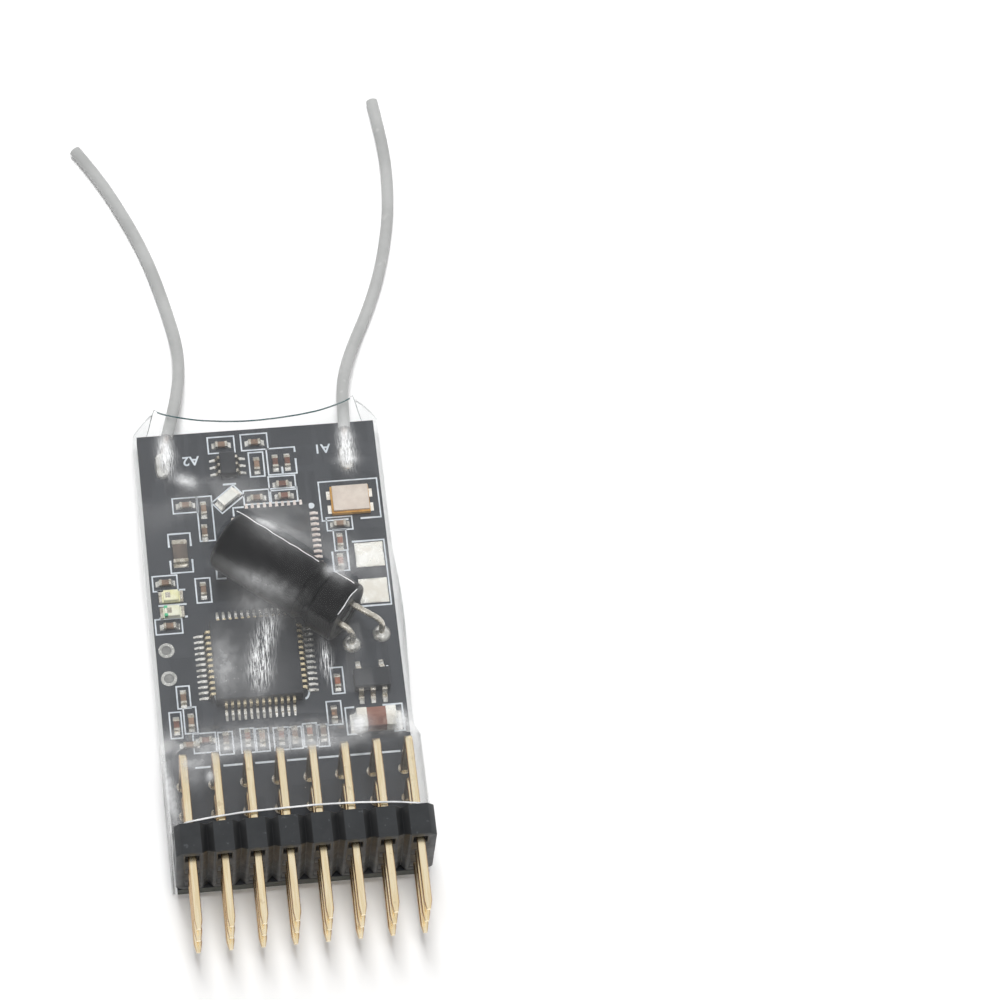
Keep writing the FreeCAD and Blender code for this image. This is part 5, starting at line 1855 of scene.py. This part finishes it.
@dataclass
class Sleeve:
    """The clear shrink sleeve, drawn tight over everything on the board."""

    finishes: Finishes
    half: float = 10.24
    front: float = 2.74
    back: float = 42.05
    pinch_from: float = 40.33
    pinched: float = 0.19
    under_front: float = 0.45
    under_back: float = 40.4
    floor: float = -2.15
    thickness: float = 0.07
    columns: int = 115
    rows: int = 205
    rounds: int = 120
    chip_level: float = 1.82
    sag: float = 0.35
    sag_reach: float = 5.2
    processor: Pair = (-1.93, 18.92)
    pins_level: float = 6.95
    pins_end: float = 9.44
    ramp: float = 3.4
    edge_level: float = 0.75
    can_start: Point = (5.47, 21.08, 3.70)
    can_end: Point = (-3.53, 28.55, 3.70)
    can_crown: float = 6.6
    crown_half: float = 1.75
    slope: float = 0.95
    # Shift per unit of height that places the painted glare where it shows from the usual viewpoint.
    lean: Pair = (0.1316, 0.4935)
    crease: Pair = (1.52, 0.03)
    chip_places: Sequence[Point] = ()
    milky_glare: Rows = (
        # Patches of painted glare and highlights, some of them real cloudiness: strength, middle across,
        # middle along, half width, half length and turn.
        (0.8, -9.3, 8.6, 0.5, 2.6, 6.0), (0.9, -7.48, 38.9, 0.5, 1.5), (0.8, -6.0, 35.95, 0.9, 0.5, -25.0),
        (0.9, 7.47, 38.5, 0.5, 1.6), (0.4, 7.5, 36.8, 0.9, 0.35), (0.32, -4.5, 19.1, 0.9, 2.4),
        (0.14, -2.4, 18.6, 2.4, 3.2), (0.34, -4.3, 12.2, 2.6, 0.5), (0.3, 2.2, 12.0, 3.0, 0.5),
        (0.32, -1.0, 12.8, 7.0, 1.0), (0.2, -7.3, 10.3, 0.9, 1.0), (1.0, 6.08, 13.2, 0.6, 0.7, 15.0),
        (0.85, 9.38, 13.2, 0.36, 0.7), (0.32, -0.4, 26.3, 2.5, 0.8, -29.0),
        (0.24, -1.0, 24.0, 2.0, 1.1, -30.0), (0.3, -7.0, 11.2, 1.9, 0.5), (0.6, -5.9, 10.0, 0.3, 0.45),
        (0.85, 0.35, 31.55, 0.85, 0.24, -30.0), (0.22, 1.4, 30.8, 2.2, 1.2, -35.0),
        (0.4, 5.15, 26.9, 0.4, 0.4, -40.0), (0.42, 6.1, 27.1, 0.8, 1.1),
    )
    # Painted glare streaks: strength, middle across, middle along, half width, half length and turn.
    glare_streaks: Rows = (
        (1.3, -1.45, 18.9, 0.8, 1.7, -8.0), (1.1, -0.6, 21.6, 0.7, 1.5, -20.0),
        (1.2, 3.95, 18.8, 0.42, 1.3), (0.8, -7.48, 38.2, 0.7, 1.6), (0.8, 7.47, 37.6, 0.7, 1.6),
    )
    wall_haze: Pair = (0.04, 0.05)
    # Painted glare on the front-left wall, with where it ends and how far it fades along the film.
    corner_glare: float = 0.62
    corner_end: float = 0.26
    corner_fade: float = 0.14
    mouth_bead: Pair = (0.1, 0.08)
    front_highlight_bead: Pair = (0.13, 0.12)
    crease_highlight_line: Pair = (0.07, 0.04)
    can_radius: float = 2.62
    wires: tuple[tuple[Point, Point, float], ...] = (
        ((6.0, 21.5, 3.7), (8.5, 20.73, 0.9), 0.35), ((5.2, 20.3, 3.6), (6.0, 19.98, 0.7), 0.35),
        ((-7.5, 37.6, 0.35), (-7.3, 44.0, 0.9), 0.55), ((7.3, 36.5, 0.35), (7.4, 44.0, 0.9), 0.55),
    )
    wall_steps: int = 5
    wall_gap: float = 0.05
    foot_rise: float = 0.28
    bottom_columns: int = 24
    front_bow: float = 0.62
    back_bow: float = 1.6
    board_half: float = 9.9
    board_end: float = 40.35
    levels: Pair = (0.04, -1.6)
    chip_half: Pair = (0.55, 0.3)
    chip_top: float = 0.4
    clearance: float = 0.06
    pull: float = 0.6
    crease_step: float = 0.35
    grip_radius: float = 2.3
    grip_share: float = 0.9
    mouth_share: float = 0.08
    fold_height: float = 0.035
    fold_scale: Pair = (0.9, 0.14)
    bow_height: float = 0.10
    bow_scale: Pair = (0.30, 0.30)
    clear_milk: float = 0.02
    most_milk: float = 0.92

    def build(self) -> None:
        """Drape, wrinkle and thicken the film."""
        across, along = self.grid()
        below = self.supports(across, along)
        height = self.drape(below, across, along)
        height += self.wrinkles(across, along, height, below)
        height = np.maximum(height, below + self.clearance / 2)
        piece = self.skin(across, along, height)
        hand_over(piece, Slot.FILM, "clear_sleeve")
        # The front bead and the crease lines are white as painted highlights; the mouth bead keeps the
        # edge's dark green.
        for name, row, ahead, down, size, paint in (
            ("sleeve_mouth_bead", -1, -0.05, 0.04, self.mouth_bead, "teal"),
            ("sleeve_front_bead", 0, 0.05, 0.05, self.front_highlight_bead, "bead"),
        ):
            places = zip(across[row, 3:-3], along[row, 3:-3], height[row, 3:-3])
            rim = [(x, y + ahead, z - down) for x, y, z in places]
            hand_over(NodeBench.lines(name, [rim], *size, self.finishes[paint]), Slot.FILM)
        crease_highlights = NodeBench.lines("sleeve_creases", self.crease_highlights(across, along, height), *self.crease_highlight_line,
                                  self.finishes["bead"])
        hand_over(crease_highlights, Slot.FILM)

    def crease_highlights(self, across: np.ndarray, along: np.ndarray, height: np.ndarray) -> list[list[Point]]:
        """List the painted highlight lines on the film's sharp folds, beside the capacitor and round its
        open end.

        Args:
            across: x of the film.
            along: y of the film.
            height: Its heights.

        Returns:
            Their lines, just over the film.
        """
        start, end = Vector(self.can_start), Vector(self.can_end)
        run = (end - start).normalized()
        aside = Vector((run.y, -run.x, 0.0))
        beside, over = self.crease
        paths = []
        for first, last in ((start + run * 0.3 + aside * beside, start + run * 2.1 + aside * beside),
                            (start + run * 3.7 + aside * beside, end + aside * beside),
                            (start - run * 0.15 - aside * 1.5, start - run * 0.15 + aside * 1.2)):
            steps = max(2, round((last - first).length / self.crease_step))
            path = []
            for step in range(steps + 1):
                x, y, _ = first.lerp(last, step / steps)
                x += 0.08 * noise.noise(Vector((x * 1.3, y * 1.3, 0.0)))
                near = np.unravel_index(np.argmin((across - x) ** 2 + (along - y) ** 2), across.shape)
                path.append((x, y, float(height[near]) + over))
            paths.append(path)
        return paths

    def grid(self) -> tuple[np.ndarray, np.ndarray]:
        """Give the board coordinates of the film's upper side.

        Returns:
            x and y of each point, by row and column.
        """
        share = np.linspace(-1.0, 1.0, self.columns)
        t = np.linspace(0.0, 1.0, self.rows)
        near = self.front + self.front_bow * (1 - share ** 2)
        far = self.back - self.back_bow * (1 - share ** 2)
        along = near[None, :] + t[:, None] * (far - near)[None, :]
        return self.half * share[None, :] * self.pinch(along), along

    def pinch(self, y: np.ndarray) -> np.ndarray:
        """Give how much the film's mouth draws in behind the board.

        Args:
            y: Along.

        Returns:
            Shares of the full width.
        """
        past = np.clip((y - self.pinch_from) / (self.back - self.pinch_from), 0.0, 1.0)
        return 1.0 - self.pinched * past

    def supports(self, x: np.ndarray, y: np.ndarray) -> np.ndarray:
        """Give the height of what lies under each point of the film.

        Args:
            x: Across.
            y: Along.

        Returns:
            Heights over the board.
        """
        low = np.where((np.abs(x) < self.board_half) & (y < self.board_end), *self.levels)

        def boxed(node: str, grow: float = 0.1, extra: float = 0.0) -> None:
            """Raise the level to the top of a node's box.

            Args:
                node: The frame's node.
                grow: How far its box is grown sideways.
                extra: What is added to its top.
            """
            nonlocal low
            least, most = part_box(node)
            inside = ((x > least.x / MM - grow) & (x < most.x / MM + grow)
                      & (y > least.y / MM - FRONT_FACE_Y - grow) & (y < most.y / MM - FRONT_FACE_Y + grow))
            low = np.where(inside, np.maximum(low, most.z / MM - BOARD_TOP_Z + extra), low)

        for node in ("mcu_body", "radio_body", "switch_body", "regulator_body", "crystal_lid",
                     "large_ceramic", "large_resistor", "yellow_lamp", "green_lamp"):
            boxed(node)
        boxed("mcu_leads", 0.05, -0.45)
        for number in range(1, 9):
            boxed(f"upper_pin_{number}", 0.02)
        for px, py, turn in self.chip_places:
            a, b = self.chip_half if turn == 0 else self.chip_half[::-1]
            inside = (np.abs(x - px) < a) & (np.abs(y - py) < b)
            low = np.where(inside, np.maximum(low, self.chip_top), low)
        for start, end, radius in ((self.can_start, self.can_end, self.can_radius), *self.wires):
            low = np.maximum(low, self.rod(x, y, start, end, radius))
        return low

    @staticmethod
    def beside(x: np.ndarray, y: np.ndarray, start: Point, end: Point) -> tuple[np.ndarray, np.ndarray]:
        """Give how far along a line each place is, and how far away from it.

        Args:
            x: Across.
            y: Along.
            start: Where the line starts.
            end: Where it ends.

        Returns:
            Shares of its length, from 0 to 1 beside it, and distances.
        """
        run = np.array(end[:2]) - np.array(start[:2])
        share = ((x - start[0]) * run[0] + (y - start[1]) * run[1]) / (run @ run)
        kept = np.clip(share, 0.0, 1.0)
        return share, np.hypot(x - start[0] - kept * run[0], y - start[1] - kept * run[1])

    @classmethod
    def rod(cls, x: np.ndarray, y: np.ndarray, start: Point, end: Point, radius: float) -> np.ndarray:
        """Give the upper side of a round rod with flat ends.

        Args:
            x: Across.
            y: Along.
            start: One end of its axis.
            end: The other end.
            radius: Its radius.

        Returns:
            Heights, far below the board beside the rod.
        """
        share, aside = cls.beside(x, y, start, end)
        inside = (share > -0.01) & (share < 1.01)
        level = start[2] + np.clip(share, 0.0, 1.0) * (end[2] - start[2])
        top = level + np.sqrt(np.maximum(radius ** 2 - aside ** 2, 0.0))
        return np.where(inside & (aside < radius), top, -9.0)

    def taut(self, x: np.ndarray, y: np.ndarray) -> np.ndarray:
        """Give the tents that the film stands in over the pins, the chips and the capacitor.

        Args:
            x: Across.
            y: Along.

        Returns:
            Heights over the board.
        """
        beside, behind = (x - self.processor[0]) / self.sag_reach, (y - self.processor[1]) / self.sag_reach
        level = self.chip_level - self.sag * (1.0 - np.exp(-(beside ** 4 + behind ** 4)))
        inward = np.clip((self.half - np.abs(x)) / 1.3, 0.0, 1.0)
        level = self.edge_level - 0.5 + (level - self.edge_level + 0.5) * inward ** 0.7
        past = np.clip((y - self.pins_end) / self.ramp, 0.0, 1.0)
        pins = self.pins_level + (self.chip_level - 0.2 - self.pins_level) * past
        fall = 2.0 * (1.0 - np.clip((self.half - np.abs(x)) / 0.75, 0.0, 1.0))
        level = np.maximum(level, np.where(past < 1.0, pins - fall, -9.0))
        _, aside = self.beside(x, y, self.can_start, self.can_end)
        tent = self.can_crown - self.slope * np.maximum(0.0, aside - self.crown_half)
        return np.maximum(level, tent)

    def drape(self, below: np.ndarray, x: np.ndarray, y: np.ndarray) -> np.ndarray:
        """Round the tents off, with the film always over its supports.

        Args:
            below: Heights of the supports.
            x: Across.
            y: Along.

        Returns:
            Heights of the film.
        """
        film = np.maximum(self.taut(x, y), below + self.clearance)
        for _ in range(self.rounds):
            padded = np.pad(film, 1, mode="edge")
            near = (padded[:-2, 1:-1] + padded[2:, 1:-1] + padded[1:-1, :-2] + padded[1:-1, 2:]) / 4
            near[:, 0], near[:, -1] = film[:, 0], film[:, -1]
            film = np.maximum((1.0 - self.pull) * film + self.pull * near, below + self.clearance)
        return film

    def wrinkles(self, x: np.ndarray, y: np.ndarray, height: np.ndarray, below: np.ndarray) -> np.ndarray:
        """Give the small folds of the film.

        Args:
            x: Across.
            y: Along.
            height: Heights of the film.
            below: Heights of its supports.

        Returns:
            What the folds add to the heights.
        """
        free = np.clip((height - below - self.clearance) / 0.5, 0.0, 1.0)
        away = np.clip((self.half - np.abs(x)) / 0.8, 0.0, 1.0)
        folds = np.zeros_like(x)
        for index in np.ndindex(x.shape):
            px, py = float(x[index]), float(y[index])
            fold = noise.noise(Vector((px * self.fold_scale[0], py * self.fold_scale[1], 1.7)))
            bow = noise.noise(Vector((px * self.bow_scale[0], py * self.bow_scale[1], 3.3)))
            folds[index] = self.fold_height * fold + self.bow_height * bow
        return folds * free * away

    def haze(self, x: float, y: float) -> Pair:
        """Give how cloudy the film is, with its painted glare, and how strong its painted glare streaks
        are, over a place of the board.

        The places are those at which the cloudiness and painted glare show on the board from the usual
        viewpoint.

        Args:
            x: Across.
            y: Along.

        Returns:
            The milkiness with painted glare, and the painted glare streaks.
        """
        def patch(px: float, py: float, rx: float, ry: float, turn: float = 0.0) -> float:
            """Give how strong a soft oval patch is at this place.

            Args:
                px: Its middle, across.
                py: Its middle, along.
                rx: Its half width.
                ry: Its half length.
                turn: Its turn in degrees.

            Returns:
                Its strength, 1 in the middle.
            """
            angle = math.radians(turn)
            a = (x - px) * math.cos(angle) + (y - py) * math.sin(angle)
            b = -(x - px) * math.sin(angle) + (y - py) * math.cos(angle)
            return math.exp(-((a / rx) ** 2 + (b / ry) ** 2))

        glare_milk = self.clear_milk + sum(much * patch(*place) for much, *place in self.milky_glare)
        streak = sum(much * patch(*place) for much, *place in self.glare_streaks)
        return min(glare_milk, self.most_milk), min(streak, 1.0)

    def wall(self, row: int, side: int, edge: Point) -> list[Point]:
        """Give the points down one side of the film.

        Args:
            row: Which row of the film.
            side: 1 or -1.
            edge: Where its upper side ends.

        Returns:
            The points, from the top down.
        """
        edge_x, edge_y, top = edge
        outer = self.half + self.wall_gap
        mouth = self.mouth_share * (self.back - self.front)
        points = []
        for step in range(1, self.wall_steps + 1):
            share = step / self.wall_steps
            z = top + (self.floor + self.foot_rise - top) * share
            wave = 0.05 * noise.noise(Vector((row * 0.11, z * 0.9, side * 4.0)))
            near = self.front if (side == 1 and share < 0.4) else self.front - 2.3 * share
            y = edge_y + min(0.0, self.under_back - edge_y) * share
            if row / (self.rows - 1) < self.mouth_share:
                y = near + (edge_y - self.front) / mouth * (self.front + mouth - near)
            drawn_in = (self.half - abs(edge_x)) * (1.0 - 0.5 * share)
            points.append((side * (min(outer + 0.02, outer - 0.02 + wave) - drawn_in), y, z))
        return points

    def skin(self, across: np.ndarray, along: np.ndarray, height: np.ndarray) -> Object:
        """Close the film round the board and give it its thickness.

        Args:
            across: x of its upper side.
            along: y of its upper side.
            height: Heights of its upper side.

        Returns:
            The piece.
        """
        outer = self.half + self.wall_gap
        bottom = np.linspace(outer - 0.3, -outer + 0.3, self.bottom_columns)
        lean_x, lean_y = self.lean
        right, left = self.wall_haze
        shape = bmesh.new()
        haze = shape.verts.layers.float.new("haze")
        streak = shape.verts.layers.float.new("streak")
        grip = shape.verts.layers.float.new("grip")
        held = self.rod(across, along, self.can_start, self.can_end, self.grip_radius) > 0.0
        rings = []
        for row in range(self.rows):
            t = row / (self.rows - 1)
            ring = []
            for column in range(self.columns):
                x, y, z = across[row, column], along[row, column], height[row, column]
                vert = shape.verts.new((x, y, z))
                # The painted glare and cloudiness are placed where they show from the usual viewpoint,
                # shifted by the film's height.
                vert[haze], vert[streak] = self.haze(x + lean_x * z, y + lean_y * z)
                if held[row, column]:
                    vert[grip], vert[streak] = self.grip_share, 0.0
                ring.append(vert)
            for side in (1, -1):
                edge = self.columns - 1 if side == 1 else 0
                spots = self.wall(row, side, (across[row, edge], along[row, edge], height[row, edge]))
                walls = [shape.verts.new(spot) for spot in spots][::side]
                corner = min(max((self.corner_end - t) / self.corner_fade, 0.0), 1.0)
                for vert in walls:
                    # The front-left wall carries painted glare that fades towards the back.
                    vert[haze] = right if side == 1 else left + self.corner_glare * corner
                ring += walls
                if side == 1:
                    drawn_in = 1.0 - (1.0 - abs(across[row, 0]) / self.half) / 2
                    y = self.under_front + (self.under_back - self.under_front) * t
                    ring += [shape.verts.new((x * drawn_in, y, self.floor)) for x in bottom]
            rings.append(ring)
        stitched(shape, rings)
        bmesh.ops.recalc_face_normals(shape, faces=shape.faces)
        middle = rings[self.rows // 2][self.columns // 2]
        if middle.normal.z < 0 or sum(face.normal.z for face in middle.link_faces) < 0:
            bmesh.ops.reverse_faces(shape, faces=shape.faces)
        shape.transform(TO_PART)
        data = bpy.data.meshes.new("shrink_sleeve")
        shape.to_mesh(data)
        shape.free()
        piece = dressed("shrink_sleeve", data, [self.finishes["film"], self.finishes["film_edge"]], 180.0)
        solid = piece.modifiers.new("wall", "SOLIDIFY")
        solid.thickness = self.thickness * MM
        solid.offset = -1.0
        solid.material_offset_rim = 1
        return settled(piece)


def main() -> None:
    """Build the receiver, piece by piece."""
    logging.basicConfig(level=logging.INFO, format="%(name)s: %(message)s")
    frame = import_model()
    nodes = frame["nodes"]
    finishes = Finishes()
    Studio().build()
    Antennas(finishes).build()
    Board(finishes, nodes["circuit_board"]).build()
    Header(finishes, nodes).build()
    Packages(finishes, nodes).build()
    chips = ChipParts(finishes)
    chips.build()
    Crystal(finishes, nodes).build()
    Lamps(finishes).build()
    Reservoir(finishes, nodes).build()
    Pads(finishes, nodes).build()
    Sleeve(finishes, chip_places=chips.resistors + chips.ceramics).build()


if __name__ == "__main__":
    main()
